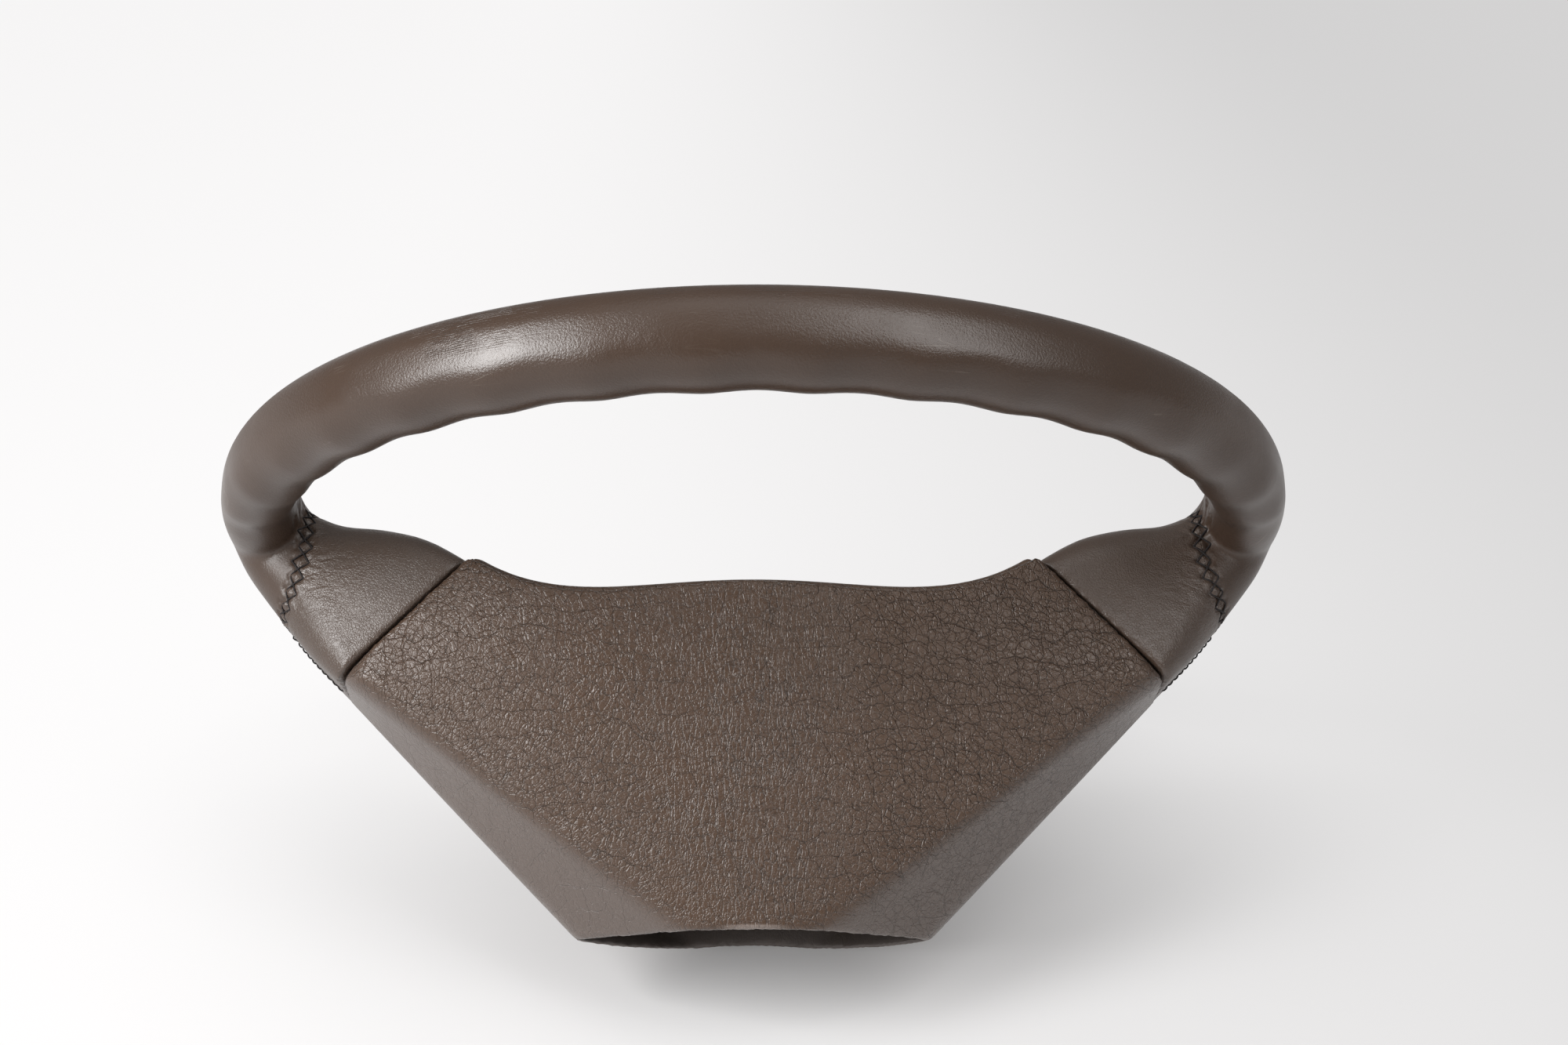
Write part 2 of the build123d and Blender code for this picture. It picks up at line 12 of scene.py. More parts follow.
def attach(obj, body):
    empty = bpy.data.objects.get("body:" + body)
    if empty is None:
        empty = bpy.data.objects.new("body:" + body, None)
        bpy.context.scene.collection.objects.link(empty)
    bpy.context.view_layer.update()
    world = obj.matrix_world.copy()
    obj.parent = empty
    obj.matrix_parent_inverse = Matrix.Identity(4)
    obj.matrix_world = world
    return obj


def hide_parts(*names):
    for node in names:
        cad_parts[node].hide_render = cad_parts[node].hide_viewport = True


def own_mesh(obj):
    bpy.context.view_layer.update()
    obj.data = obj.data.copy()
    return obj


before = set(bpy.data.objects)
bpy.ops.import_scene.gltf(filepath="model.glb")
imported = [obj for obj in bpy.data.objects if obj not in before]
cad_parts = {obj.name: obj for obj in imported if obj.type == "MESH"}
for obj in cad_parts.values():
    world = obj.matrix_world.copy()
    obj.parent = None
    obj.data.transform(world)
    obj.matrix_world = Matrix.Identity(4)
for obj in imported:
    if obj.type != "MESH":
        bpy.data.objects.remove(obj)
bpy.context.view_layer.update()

bl_info = {
    "name": "Steering Wheel Dressing",
    "version": (1, 0, 0),
    "blender": (4, 5, 0),
    "location": "View3D > Sidebar > Wheel",
    "description": "Leather, lacing, moulded grain and a studio for a packed steering wheel",
    "category": "Object",
}

# The rim's centre line and the seam line of the right-hand spoke, in metres.
RIM_RADIUS = 0.1788
RIM_Y = -0.105
SEAM_FRONT = Vector((0.1015, -0.0842, 0.0))
SEAM_REAR = Vector((0.1460, -0.0415, 0.0))

# Where the rim's leather meets each spoke's leather: a line that bows towards the hub between its ends.
LACE_FRONT = Vector((0.1633, -0.108, 0.0))
LACE_REAR = Vector((0.173, -0.065, 0.0))
LACE_BOW = 0.0052
LACE_MIDDLE = 0.0235
LACE_HALF = 0.0225

# The wheel lies on its lower rim and the shroud's mouth, so the table leans in the wheel's frame.
TABLE_LEAN = math.radians(46.6)
TABLE_GAP = 0.0005
MOUTH = (0.0, 0.045, -0.035)
LIGHT_TARGET = (0.0, -0.06, 0.05)

# The camera of the photograph, with its picture's right and up.
CAMERA_PLACE = (0.006, 0.1295, 0.7231)
CAMERA_RIGHT = Vector((-1, 0, 0))
CAMERA_UP = Vector((0, -0.95019, 0.31168))

# Spoke stations: reach from the seam, front edge, rear edge, front and rear half height, corner.
SPOKE_STATIONS = (
    (-0.0005, 0.0000, 0.0623, 0.0340, 0.0303, 0.0080),
    (0.018, 0.0045, 0.0629, 0.0310, 0.0262, 0.0120),
    (0.034, 0.0122, 0.0620, 0.0255, 0.0224, 0.0150),
    (0.047, 0.0218, 0.0610, 0.0215, 0.0194, 0.0145),
    (0.060, 0.0275, 0.0594, 0.0185, 0.0170, 0.0125),
    (0.072, 0.0322, 0.0558, 0.0160, 0.0150, 0.0090),
)


class WheelLeather(PropertyGroup):
    """Sizes and colours of the leather on the rim and the spokes."""

    grip_width: FloatProperty(
        name="Grip Width", description="Radial width of the grip", default=0.0274, unit="LENGTH")
    grip_depth: FloatProperty(
        name="Grip Depth", description="Depth of the grip along the column", default=0.032, unit="LENGTH")
    finger_count: IntProperty(
        name="Finger Hollows", description="Hollows in one turn of the rim", default=36, min=1)
    finger_depth: FloatProperty(
        name="Finger Depth", description="Depth of a finger hollow", default=0.0010, unit="LENGTH")
    thumb_depth: FloatProperty(
        name="Thumb Depth", description="Depth of the hollows beside the spokes", default=0.0023,
        unit="LENGTH")
    skin_size: FloatProperty(
        name="Skin Size", description="Size of the leather mesh's faces", default=0.0013, unit="LENGTH")
    cover: FloatProperty(
        name="Cover", description="Least cover of leather over the foam", default=0.0010, unit="LENGTH")
    rim_colour: FloatVectorProperty(
        name="Rim Colour", description="Colour of the rim's leather", default=(0.043, 0.025, 0.016),
        size=3, subtype="COLOR")
    sleeve_colour: FloatVectorProperty(
        name="Sleeve Colour", description="Colour of the spokes' leather", default=(0.052, 0.033, 0.023),
        size=3, subtype="COLOR")


class WheelLacing(PropertyGroup):
    """Sizes and colour of the threads."""

    thread: FloatProperty(
        name="Thread", description="Diameter of the thread", default=0.0006, unit="LENGTH")
    pitch: FloatProperty(
        name="Pitch", description="Distance between crossings", default=0.0062, unit="LENGTH")
    reach: FloatProperty(
        name="Reach", description="How far a stitch reaches to each side", default=0.0031, unit="LENGTH")
    colour: FloatVectorProperty(
        name="Colour", description="Colour of the thread", default=(0.012, 0.010, 0.010),
        size=3, subtype="COLOR")


class WheelMoulding(PropertyGroup):
    """Sizes and colours of the grained mouldings."""

    skin_size: FloatProperty(
        name="Skin Size", description="Size of the shroud mesh's faces", default=0.0013, unit="LENGTH")
    pad_skin_size: FloatProperty(
        name="Pad Skin Size", description="Size of the pad mesh's faces", default=0.0012, unit="LENGTH")
    colour: FloatVectorProperty(
        name="Colour", description="Colour of the shroud and the pad", default=(0.058, 0.033, 0.020),
        size=3, subtype="COLOR")
    # Painted sheen: this paler, greyer colour stands in for the light that the shroud's flanks reflect.
    flank_sheen_colour: FloatVectorProperty(
        name="Flank Colour", description="Colour of the shroud's paler flanks", default=(0.084, 0.064, 0.054),
        size=3, subtype="COLOR")
    worn_colour: FloatVectorProperty(
        name="Worn Colour", description="Colour of the rubbed lip at the mouth", default=(0.23, 0.19, 0.17),
        size=3, subtype="COLOR")


class WheelStudio(PropertyGroup):
    """Light levels and the floor of the studio."""

    key: FloatProperty(name="Key", description="Power of the large left light", default=22.0, unit="POWER")
    fill: FloatProperty(name="Fill", description="Power of the upper right light", default=6.4, unit="POWER")
    overhead: FloatProperty(
        name="Overhead", description="Power of the soft light above the table", default=4.5, unit="POWER")
    ambient: FloatProperty(name="Ambient", description="Strength of the even light", default=0.24, min=0)
    floor_colour: FloatVectorProperty(
        name="Floor Colour", description="Colour of the floor", default=(0.92, 0.91, 0.91),
        size=3, subtype="COLOR")


def smooth_step(low, high, value):
    """Nought below low, one above high and an even slope between."""
    t = min(1.0, max(0.0, (value - low) / (high - low)))
    return t * t * (3.0 - 2.0 * t)


def add_piece(name, mesh, material, body):
    """Link a finished mesh as a piece that rides on a body."""
    mesh.name = name
    mesh.materials.clear()
    mesh.materials.append(material)
    mesh.shade_smooth()
    piece = bpy.data.objects.new(name, mesh)
    bpy.context.scene.collection.objects.link(piece)
    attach(piece, body)
    return piece


def voxel_skin(bm, size):
    """One closed skin of even faces over a bmesh's closed bodies, on a grid askew to the axes."""
    turn = Matrix.Rotation(math.radians(34.0), 3, Vector((0.5, 0.3, 0.8)))
    bmesh.ops.transform(bm, matrix=turn.to_4x4(), verts=bm.verts)
    mesh = bpy.data.meshes.new("rough")
    bm.to_mesh(mesh)
    bm.free()
    rough = bpy.data.objects.new("rough", mesh)
    bpy.context.scene.collection.objects.link(rough)
    remesh = rough.modifiers.new("skin", "REMESH")
    remesh.mode = "VOXEL"
    remesh.voxel_size = size
    graph = bpy.context.evaluated_depsgraph_get()
    skin = bpy.data.meshes.new_from_object(rough.evaluated_get(graph))
    bpy.data.objects.remove(rough)
    bpy.data.meshes.remove(mesh)
    made = bmesh.new()
    made.from_mesh(skin)
    bpy.data.meshes.remove(skin)
    bmesh.ops.transform(made, matrix=turn.transposed().to_4x4(), verts=made.verts)
    return made


def relax(bm, turns, verts=None):
    """Even out a skin's surface."""
    for _ in range(turns):
        bmesh.ops.smooth_vert(
            bm, verts=verts or bm.verts, factor=0.5, use_axis_x=True, use_axis_y=True, use_axis_z=True)


def merged_copy(node):
    """A bmesh of a node's mesh with its loose triangles joined."""
    bm = bmesh.new()
    bm.from_mesh(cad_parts[node].data)
    bmesh.ops.remove_doubles(bm, verts=bm.verts, dist=1e-6)
    return bm


def to_mesh(bm, name):
    """A new mesh from a bmesh, which is freed."""
    mesh = bpy.data.meshes.new(name)
    bm.to_mesh(mesh)
    bm.free()
    return mesh


def lacing_frame(side):
    """A place on the laced joint of one spoke, the way to its rear end and the way out to the rim."""
    run = (LACE_REAR - LACE_FRONT).normalized()
    origin = Vector((side * LACE_FRONT.x, LACE_FRONT.y, 0.0))
    return origin, Vector((side * run.x, run.y, 0.0)), Vector((side * run.y, -run.x, 0.0))


def lacing_bow(along):
    """How far the laced line bows towards the hub at a distance from its front end."""
    return LACE_BOW * max(0.0, 1.0 - ((along - LACE_MIDDLE) / LACE_HALF) ** 2)


def lacing_offset(co, side):
    """Distance of a place from the laced line, positive towards the rim."""
    origin, run, outward = lacing_frame(side)
    return (co - origin).dot(outward) + lacing_bow((co - origin).dot(run))


def straighten_lacing(bm, side, way):
    """Push one half of a mesh so that its laced line is straight, or back with way -1."""
    origin, run, outward = lacing_frame(side)
    for v in bm.verts:
        if side * v.co.x > 0.0:
            v.co += outward * (way * lacing_bow((v.co - origin).dot(run)))


def rim_place(co):
    """Angle from twelve o'clock, and angle round the grip's section from its outer side to the rear."""
    around = math.atan2(co.x, co.z)
    across = math.atan2(co.y - RIM_Y, math.hypot(co.x, co.z) - RIM_RADIUS)
    return around, across


def hollow_move(co, leather):
    """How a place on the grip moves for the finger hollows behind and the thumb hollows by the spokes."""
    around, across = rim_place(co)
    rear = math.sin(across)
    beside = abs(math.degrees(abs(around)) - 90.0)
    wave = (0.5 + 0.5 * math.cos(leather.finger_count * around)) ** 0.8
    near_spoke = math.exp(-(((beside - 20.0) / 9.0) ** 2))
    depth = leather.finger_depth * (1.0 + 0.7 * near_spoke)
    hollow = depth * wave * smooth_step(0.1, 0.85, rear) * smooth_step(8.0, 16.0, beside)
    outward = Vector((math.sin(around) * math.cos(across), rear, math.cos(around) * math.cos(across)))
    thumb = leather.thumb_depth * math.exp(-(((beside - 12.8) / 5.6) ** 2))
    inner_rear = smooth_step(0.0, 0.9, math.sin(across - math.radians(35.0)))
    return Vector((0.0, -hollow, 0.0)) - outward * (thumb * inner_rear)


def make_ring(bm, leather):
    """The grip: an oval section spun round the column, with hollows for fingers and thumbs."""
    half_width = leather.grip_width / 2
    straight = (leather.grip_depth - leather.grip_width) / 2
    section = bmesh.ops.create_circle(bm, cap_ends=False, segments=60, radius=half_width)["verts"]
    bmesh.ops.translate(bm, verts=[v for v in section if v.co.y > 1e-6], vec=(0, straight, 0))
    bmesh.ops.translate(bm, verts=[v for v in section if v.co.y < -1e-6], vec=(0, -straight, 0))
    bmesh.ops.rotate(bm, verts=section, cent=(0, 0, 0), matrix=Matrix.Rotation(-math.pi / 2, 3, "Y"))
    bmesh.ops.translate(bm, verts=section, vec=(0, RIM_Y, RIM_RADIUS))
    edges = list({e for v in section for e in v.link_edges})
    bmesh.ops.spin(
        bm, geom=section + edges, cent=(0, 0, 0), axis=(0, 1, 0), angle=2 * math.pi, steps=540,
        use_merge=True)
    bmesh.ops.remove_doubles(bm, verts=bm.verts, dist=1e-6)
    bmesh.ops.recalc_face_normals(bm, faces=bm.faces)
    for v in bm.verts:
        v.co += hollow_move(v.co, leather)


def station_between(t):
    """The spoke's station at a share t of the way, on a smooth curve through the given ones."""
    last = len(SPOKE_STATIONS) - 1
    i = min(int(t * last), last - 1)
    u = t * last - i
    p = [SPOKE_STATIONS[min(max(i + k, 0), last)] for k in (-1, 0, 1, 2)]
    return [
        0.5 * (2 * b + (c - a) * u + (2 * a - 5 * b + 4 * c - d) * u * u + (3 * b - a - 3 * c + d) * u ** 3)
        for a, b, c, d in zip(*p)
    ]


def make_spoke(bm, side):
    """One spoke: rounded sections from the seam to inside the rim, bridged."""
    run = (SEAM_REAR - SEAM_FRONT).normalized()
    outward = Vector((run.y, -run.x, 0.0))
    steps = 20
    rings = []
    for step in range(steps + 1):
        reach, front, rear, front_half, rear_half, corner = station_between(step / steps)
        corners = []
        for along, half in ((front, front_half), (rear, rear_half), (rear, -rear_half), (front, -front_half)):
            place = SEAM_FRONT + run * along + outward * reach
            corners.append(bm.verts.new((side * place.x, place.y, half)))
        bm.faces.new(corners)
        round_off = bmesh.ops.bevel(
            bm, geom=corners, offset=corner, offset_type="OFFSET", affect="VERTICES", segments=8,
            profile=0.5, material=-1)
        rings.append(round_off["verts"][0].link_faces[0])
    loops = [list(face.edges) for face in rings]
    bmesh.ops.delete(bm, geom=rings[1:-1], context="FACES_ONLY")
    for near, far in zip(loops, loops[1:]):
        bmesh.ops.bridge_loops(bm, edges=near + far)


def stub_faces(bm, side):
    """The faces of the part of a split skin that lies at the root of one spoke."""
    root = Vector((side * 0.124, -0.063, 0.031))
    seed = min(bm.faces, key=lambda f: (f.calc_center_median() - root).length_squared)
    found, edge_of_search = {seed}, [seed]
    while edge_of_search:
        face = edge_of_search.pop()
        for edge in face.edges:
            for beside in edge.link_faces:
                if beside not in found:
                    found.add(beside)
                    edge_of_search.append(beside)
    if len(found) > len(bm.faces) / 4:
        raise RuntimeError("the laced joint doesn't part the spoke from the rim")
    return found


def at_lacing(co, side):
    """Whether a place lies near the laced joint of one spoke."""
    return 0.145 < side * co.x < 0.184 and abs(co.z) < 0.0262


def ring_of_edges(edges):
    """The places along a closed ring of edges, from its rear at the column's level, rising first."""
    edges = set(edges)
    start = next(iter(edges))
    first, here = start.verts
    order = [first]
    edges.discard(start)
    while here is not first:
        order.append(here)
        following = next((e for e in here.link_edges if e in edges), None)
        if following is None:
            raise RuntimeError("the ring round the spoke is open")
        edges.discard(following)
        here = following.other_vert(here)
    points = [v.co.copy() for v in order]
    middle = sum(p.y for p in points) / len(points)
    rear = min((i for i, p in enumerate(points) if p.y > middle), key=lambda i: abs(points[i].z))
    points = points[rear:] + points[:rear]
    return points if points[3].z > points[-3].z else points[:1] + points[:0:-1]


def even_points(points, count):
    """The given number of places at even distances round a closed line."""
    closed = points + points[:1]
    steps = [(b - a).length for a, b in zip(closed, closed[1:])]
    total = sum(steps)
    made, index, passed = [], 0, 0.0
    for k in range(count):
        target = total * k / count
        while passed + steps[index] < target:
            passed += steps[index]
            index += 1
        made.append(closed[index].lerp(closed[index + 1], (target - passed) / max(steps[index], 1e-9)))
    return made


def stitch_count(ring, lacing):
    """How many crossed stitches fit round a laced joint."""
    length = sum((b - a).length for a, b in zip(ring, ring[1:] + ring[:1]))
    return 2 * round(length / lacing.pitch / 2)


def cut_ring(bm, side, inset):
    """Cut a mesh along the laced line, moved towards the hub by inset, and return the cut's edges."""
    faces = [f for f in bm.faces if all(at_lacing(v.co, side) for v in f.verts)]
    geom = faces + list({e for f in faces for e in f.edges}) + list({v for f in faces for v in f.verts})
    straighten_lacing(bm, side, 1)
    origin, _, outward = lacing_frame(side)
    cut = bmesh.ops.bisect_plane(
        bm, geom=geom, dist=1e-6, plane_co=origin - outward * inset, plane_no=outward)["geom_cut"]
    straighten_lacing(bm, side, -1)
    return [e for e in cut if isinstance(e, bmesh.types.BMEdge)]


def gather_leather(bm, side, ring, lacing):
    """Sink the laced joint and puff up the leather between its crossed threads."""
    count = stitch_count(ring, lacing)
    fine = 12 * count
    tree = KDTree(fine)
    for k, place in enumerate(even_points(ring, fine)):
        tree.insert(place, k)
    tree.balance()
    bm.normal_update()
    moves = []
    for v in bm.verts:
        off = lacing_offset(v.co, side)
        if abs(off) > 0.009 or not (0.143 < side * v.co.x < 0.186 and abs(v.co.z) < 0.030):
            continue
        stitch = tree.find(v.co)[1] / 12.0
        t = off / (2 * lacing.reach) + 0.5
        puff = math.sqrt(abs(math.sin(math.pi * (stitch - t)) * math.sin(math.pi * (stitch + t))))
        laced = smooth_step(lacing.reach + 0.0010, lacing.reach - 0.0004, abs(off))
        rumple = 0.00012 if off > 0.0 else 0.0006
        pucker = rumple * noise.noise(v.co * 300.0) * math.exp(-((off / 0.0055) ** 2))
        moves.append((v, v.normal * (pucker + laced * (0.00105 * puff - 0.00085))))
    for v, move in moves:
        v.co += move


def leather_parts(leather, lacing):
    """The leather skin split at both laced joints: the grip, the right and the left sleeve."""
    bm = bmesh.new()
    make_ring(bm, leather)
    for side in (1, -1):
        make_spoke(bm, side)
    bmesh.ops.recalc_face_normals(bm, faces=bm.faces)
    bm = voxel_skin(bm, leather.skin_size)
    relax(bm, 5)
    for side in (1, -1):
        near = [
            e for e in bm.edges
            if all(at_lacing(v.co, side) and abs(lacing_offset(v.co, side)) < 0.0045 for v in e.verts)
        ]
        bmesh.ops.subdivide_edges(bm, edges=near, cuts=1, use_grid_fill=True)
    bmesh.ops.triangulate(bm, faces=[f for f in bm.faces if len(f.verts) > 4])
    for side in (1, -1):
        cut = cut_ring(bm, side, 0.0)
        gather_leather(bm, side, ring_of_edges(cut), lacing)
        bmesh.ops.split_edges(bm, edges=cut)
    bm.faces.index_update()
    stubs = [{f.index for f in stub_faces(bm, side)} for side in (1, -1)]
    parts = []
    for kept in (None, stubs[0], stubs[1]):
        part = bm.copy()
        part.faces.ensure_lookup_table()
        if kept is None:
            gone = [f for f in part.faces if f.index in stubs[0] or f.index in stubs[1]]
        else:
            gone = [f for f in part.faces if f.index not in kept]
        bmesh.ops.delete(part, geom=gone, context="FACES")
        open_edges = [e for e in part.edges if e.is_boundary]
        bmesh.ops.holes_fill(part, edges=open_edges, sides=0)
        bmesh.ops.triangulate(part, faces=[f for f in part.faces if len(f.verts) > 4])
        parts.append(part)
    bm.free()
    return parts


def store_values(mesh, name, values):
    """Keep one number per vertex on a mesh."""
    mesh.attributes.new(name, "FLOAT", "POINT").data.foreach_set("value", values)


def side_of(co):
    """The spoke that a place is closer to: 1 for the right, -1 for the left."""
    return 1 if co.x > 0 else -1


def lace_nearness(co):
    """How near a place is to the closer laced joint, from nought to one."""
    return math.exp(-((lacing_offset(co, side_of(co)) / 0.016) ** 2))


# Materials

class NodeDesk:
    """Short words for laying out one node tree."""

    def __init__(self, tree):
        self.tree = tree

    def node(self, kind, settings=None, **inputs):
        """A node with its settings, its inputs linked or set by socket name."""
        made = self.tree.nodes.new("ShaderNode" + kind)
        for name, value in (settings or {}).items():
            setattr(made, name, value)
        for name, value in inputs.items():
            target = made.inputs[int(name[1:])] if name[0] == "i" and name[1:].isdigit() else made.inputs[
                name.replace("_", " ")]
            if isinstance(value, bpy.types.NodeSocket):
                self.tree.links.new(value, target)
            else:
                target.default_value = value
        return made

    def maths(self, operation, a, b=0.0, c=0.0):
        """The result of one step of arithmetic."""
        return self.node("Math", {"operation": operation}, i0=a, i1=b, i2=c).outputs[0]

    def ramp(self, value, low, high, to_low=0.0, to_high=1.0):
        """A value run smoothly from one range to another."""
        return self.node(
            "MapRange", {"interpolation_type": "SMOOTHSTEP"}, Value=value, From_Min=low, From_Max=high,
            To_Min=to_low, To_Max=to_high).outputs["Result"]

    def mix_colour(self, amount, a, b):
        """Two colours mixed."""
        made = self.node("Mix", {"data_type": "RGBA"})
        for index, value in ((0, amount), (6, a), (7, b)):
            if isinstance(value, bpy.types.NodeSocket):
                self.tree.links.new(value, made.inputs[index])
            else:
                made.inputs[index].default_value = value
        return made.outputs[2]


def rgba(colour):
    """A colour with full alpha."""
    return (colour[0], colour[1], colour[2], 1.0)


def new_group(name, inputs, outputs):
    """A shader node group with named sockets, and its desk, input node and output node."""
    group = bpy.data.node_groups.new(name, "ShaderNodeTree")
    for label, kind in inputs:
        group.interface.new_socket(label, in_out="INPUT", socket_type="NodeSocket" + kind)
    for label, kind in outputs:
        group.interface.new_socket(label, in_out="OUTPUT", socket_type="NodeSocket" + kind)
    source = group.nodes.new("NodeGroupInput")
    target = group.nodes.new("NodeGroupOutput")
    return group, NodeDesk(group), source.outputs, target.inputs


def crease_group():
    """Creased hide: a net of thin bent valleys that deepen and fade from place to place."""
    group = bpy.data.node_groups.get("creased_hide")
    if group:
        return group
    inputs = [("Vector", "Vector")] + [(label, "Float") for label in ("Scale", "Bend", "Width", "Fade")]
    group, desk, given, put = new_group("creased_hide", inputs, [("Height", "Float")])
    bend_scale = desk.maths("MULTIPLY", given["Scale"], 0.55)
    drift = desk.node("TexNoise", Vector=given["Vector"], Scale=bend_scale, Detail=3.0, Roughness=0.6)
    middle = (0.5, 0.5, 0.5)
    centred = desk.node("VectorMath", {"operation": "SUBTRACT"}, i0=drift.outputs["Color"], i1=middle)
    amount = desk.maths("DIVIDE", given["Bend"], given["Scale"])
    moved = desk.node("VectorMath", {"operation": "SCALE"}, i0=centred.outputs[0], Scale=amount)
    place = desk.node("VectorMath", {"operation": "ADD"}, i0=given["Vector"], i1=moved.outputs[0]).outputs[0]
    cells = desk.node("TexVoronoi", {"feature": "DISTANCE_TO_EDGE"}, Vector=place, Scale=given["Scale"])
    valley = desk.ramp(cells.outputs["Distance"], given["Width"], 0.0)
    fade_scale = desk.maths("MULTIPLY", given["Scale"], 0.3)
    fade = desk.node("TexNoise", Vector=given["Vector"], Scale=fade_scale, Detail=2.0).outputs["Fac"]
    depth = desk.maths("SUBTRACT", 1.0, desk.maths("MULTIPLY", desk.ramp(fade, 0.60, 0.40), given["Fade"]))
    height = desk.maths("SUBTRACT", 1.0, desk.maths("MULTIPLY", valley, depth))
    group.links.new(height, put["Height"])
    return group


def line_group():
    """Drawn lines: long wavy valleys side by side, each one broken along its length."""
    group = bpy.data.node_groups.get("drawn_lines")
    if group:
        return group
    inputs = [("Vector", "Vector")] + [(label, "Float") for label in ("Along", "Scale", "Bend", "Width")]
    group, desk, given, put = new_group("drawn_lines", inputs, [("Height", "Float")])
    bend_scale = desk.maths("MULTIPLY", given["Scale"], 0.3)
    drift = desk.node("TexNoise", Vector=given["Vector"], Scale=bend_scale, Detail=4.0, Roughness=0.55)
    sway = desk.maths("SUBTRACT", drift.outputs["Fac"], 0.5)
    straight = desk.maths("MULTIPLY", given["Along"], given["Scale"])
    turns = desk.maths("MULTIPLY_ADD", sway, given["Bend"], straight)
    away = desk.maths("ABSOLUTE", desk.maths("SUBTRACT", desk.maths("FRACT", turns), 0.5))
    valley = desk.ramp(away, given["Width"], 0.0)
    fade = desk.node("TexNoise", Vector=given["Vector"], Scale=given["Scale"], Detail=2.0).outputs["Fac"]
    depth = desk.ramp(fade, 0.32, 0.52, 0.10, 1.0)
    height = desk.maths("SUBTRACT", 1.0, desk.maths("MULTIPLY", valley, depth))
    group.links.new(height, put["Height"])
    return group


def use_group(desk, group, **inputs):
    """A placed node group with its inputs linked or set."""
    made = desk.tree.nodes.new("ShaderNodeGroup")
    made.node_tree = group
    for name, value in inputs.items():
        if isinstance(value, bpy.types.NodeSocket):
            desk.tree.links.new(value, made.inputs[name])
        else:
            made.inputs[name].default_value = value
    return made.outputs


def new_material(name):
    """An empty material with its desk, its shader and its Object coordinates."""
    material = bpy.data.materials.new(name)
    material.use_nodes = True
    tree = material.node_tree
    tree.nodes.clear()
    desk = NodeDesk(tree)
    shader = desk.node("BsdfPrincipled")
    out = desk.node("OutputMaterial")
    tree.links.new(shader.outputs["BSDF"], out.inputs["Surface"])
    place = desk.node("TexCoord").outputs["Object"]
    return material, desk, shader, place


def finish_surface(desk, shader, colour, roughness, height, depth, shine=0.5):
    """Link colour, roughness and a bump of a given depth to a shader, and set its shine."""
    links = desk.tree.links
    shader.inputs["Specular IOR Level"].default_value = shine
    links.new(colour, shader.inputs["Base Color"])
    links.new(roughness, shader.inputs["Roughness"])
    bump = desk.node("Bump", Height=height, Strength=1.0, Distance=depth)
    links.new(bump.outputs["Normal"], shader.inputs["Normal"])


def creases(desk, place, scale, bend, width, fade):
    """The height of one net of creases."""
    made = use_group(desk, crease_group(), Vector=place, Scale=scale, Bend=bend, Width=width, Fade=fade)
    return made["Height"]


def lines_along(desk, place, along, scale, bend, width):
    """The height of one set of drawn lines."""
    made = use_group(desk, line_group(), Vector=place, Along=along, Scale=scale, Bend=bend, Width=width)
    return made["Height"]


def rim_leather_material(leather):
    """Rim leather: worn smooth by hands, half glossy, with fine pores, scratches and cracks at the front."""
    material, desk, shader, place = new_material("worn_rim_leather")
    around = desk.node("Attribute", {"attribute_name": "around"}).outputs["Fac"]
    across = desk.node("Attribute", {"attribute_name": "across"}).outputs["Fac"]
    wrapped = desk.node("CombineXYZ", X=around, Y=across).outputs[0]
    pores = desk.node("TexNoise", Vector=place, Scale=1400.0, Detail=2.0, Roughness=0.6).outputs["Fac"]
    wear = desk.node("TexNoise", Vector=place, Scale=38.0, Detail=4.0).outputs["Fac"]
    rubbed = desk.ramp(wear, 0.42, 0.62)
    long_way = desk.node("Mapping", Vector=wrapped, Scale=(0.28, 1.0, 1.0)).outputs[0]
    cracked = lines_along(desk, long_way, across, 620.0, 2.4, 0.16)
    patches = desk.node("TexNoise", Vector=place, Scale=26.0, Detail=2.0).outputs["Fac"]
    front = desk.ramp(across, -0.012, -0.026)
    at_front = desk.maths("MULTIPLY", front, desk.ramp(patches, 0.44, 0.60))
    amount = desk.maths("ADD", desk.ramp(patches, 0.58, 0.66, 0.0, 0.7), at_front)
    crack = desk.maths("MULTIPLY", desk.maths("SUBTRACT", 1.0, cracked), desk.maths("MINIMUM", amount, 1.0))
    crack = desk.maths("MULTIPLY", crack, desk.ramp(across, 0.008, -0.004))
    line_way = desk.node("Mapping", Vector=wrapped, Rotation=(0, 0, 0.35), Scale=(0.22, 1.0, 1.0)).outputs[0]
    scored = desk.maths("SUBTRACT", 1.0, creases(desk, line_way, 95.0, 0.7, 0.012, 0.9))
    scratch = desk.maths("MULTIPLY", scored, desk.ramp(wear, 0.56, 0.66))
    height = desk.maths("MULTIPLY", pores, desk.maths("MULTIPLY_ADD", rubbed, -0.30, 1.0))
    height = desk.maths("SUBTRACT", height, desk.maths("MULTIPLY", crack, 1.2))
    low, high = (rgba([c * f for c in leather.rim_colour]) for f in (0.88, 1.12))
    colour = desk.mix_colour(wear, low, high)
    colour = desk.mix_colour(desk.maths("MULTIPLY", crack, 0.6), colour, (0.014, 0.010, 0.008, 1.0))
    colour = desk.mix_colour(desk.maths("MULTIPLY", scratch, 0.65), colour, (0.22, 0.19, 0.16, 1.0))
    lace = desk.node("Attribute", {"attribute_name": "lace"}).outputs["Fac"]
    roughness = desk.maths("MULTIPLY_ADD", lace, 0.16, desk.maths("MULTIPLY_ADD", rubbed, -0.04, 0.335))
    finish_surface(desk, shader, colour, roughness, height, 0.00014, 0.54)
    return material


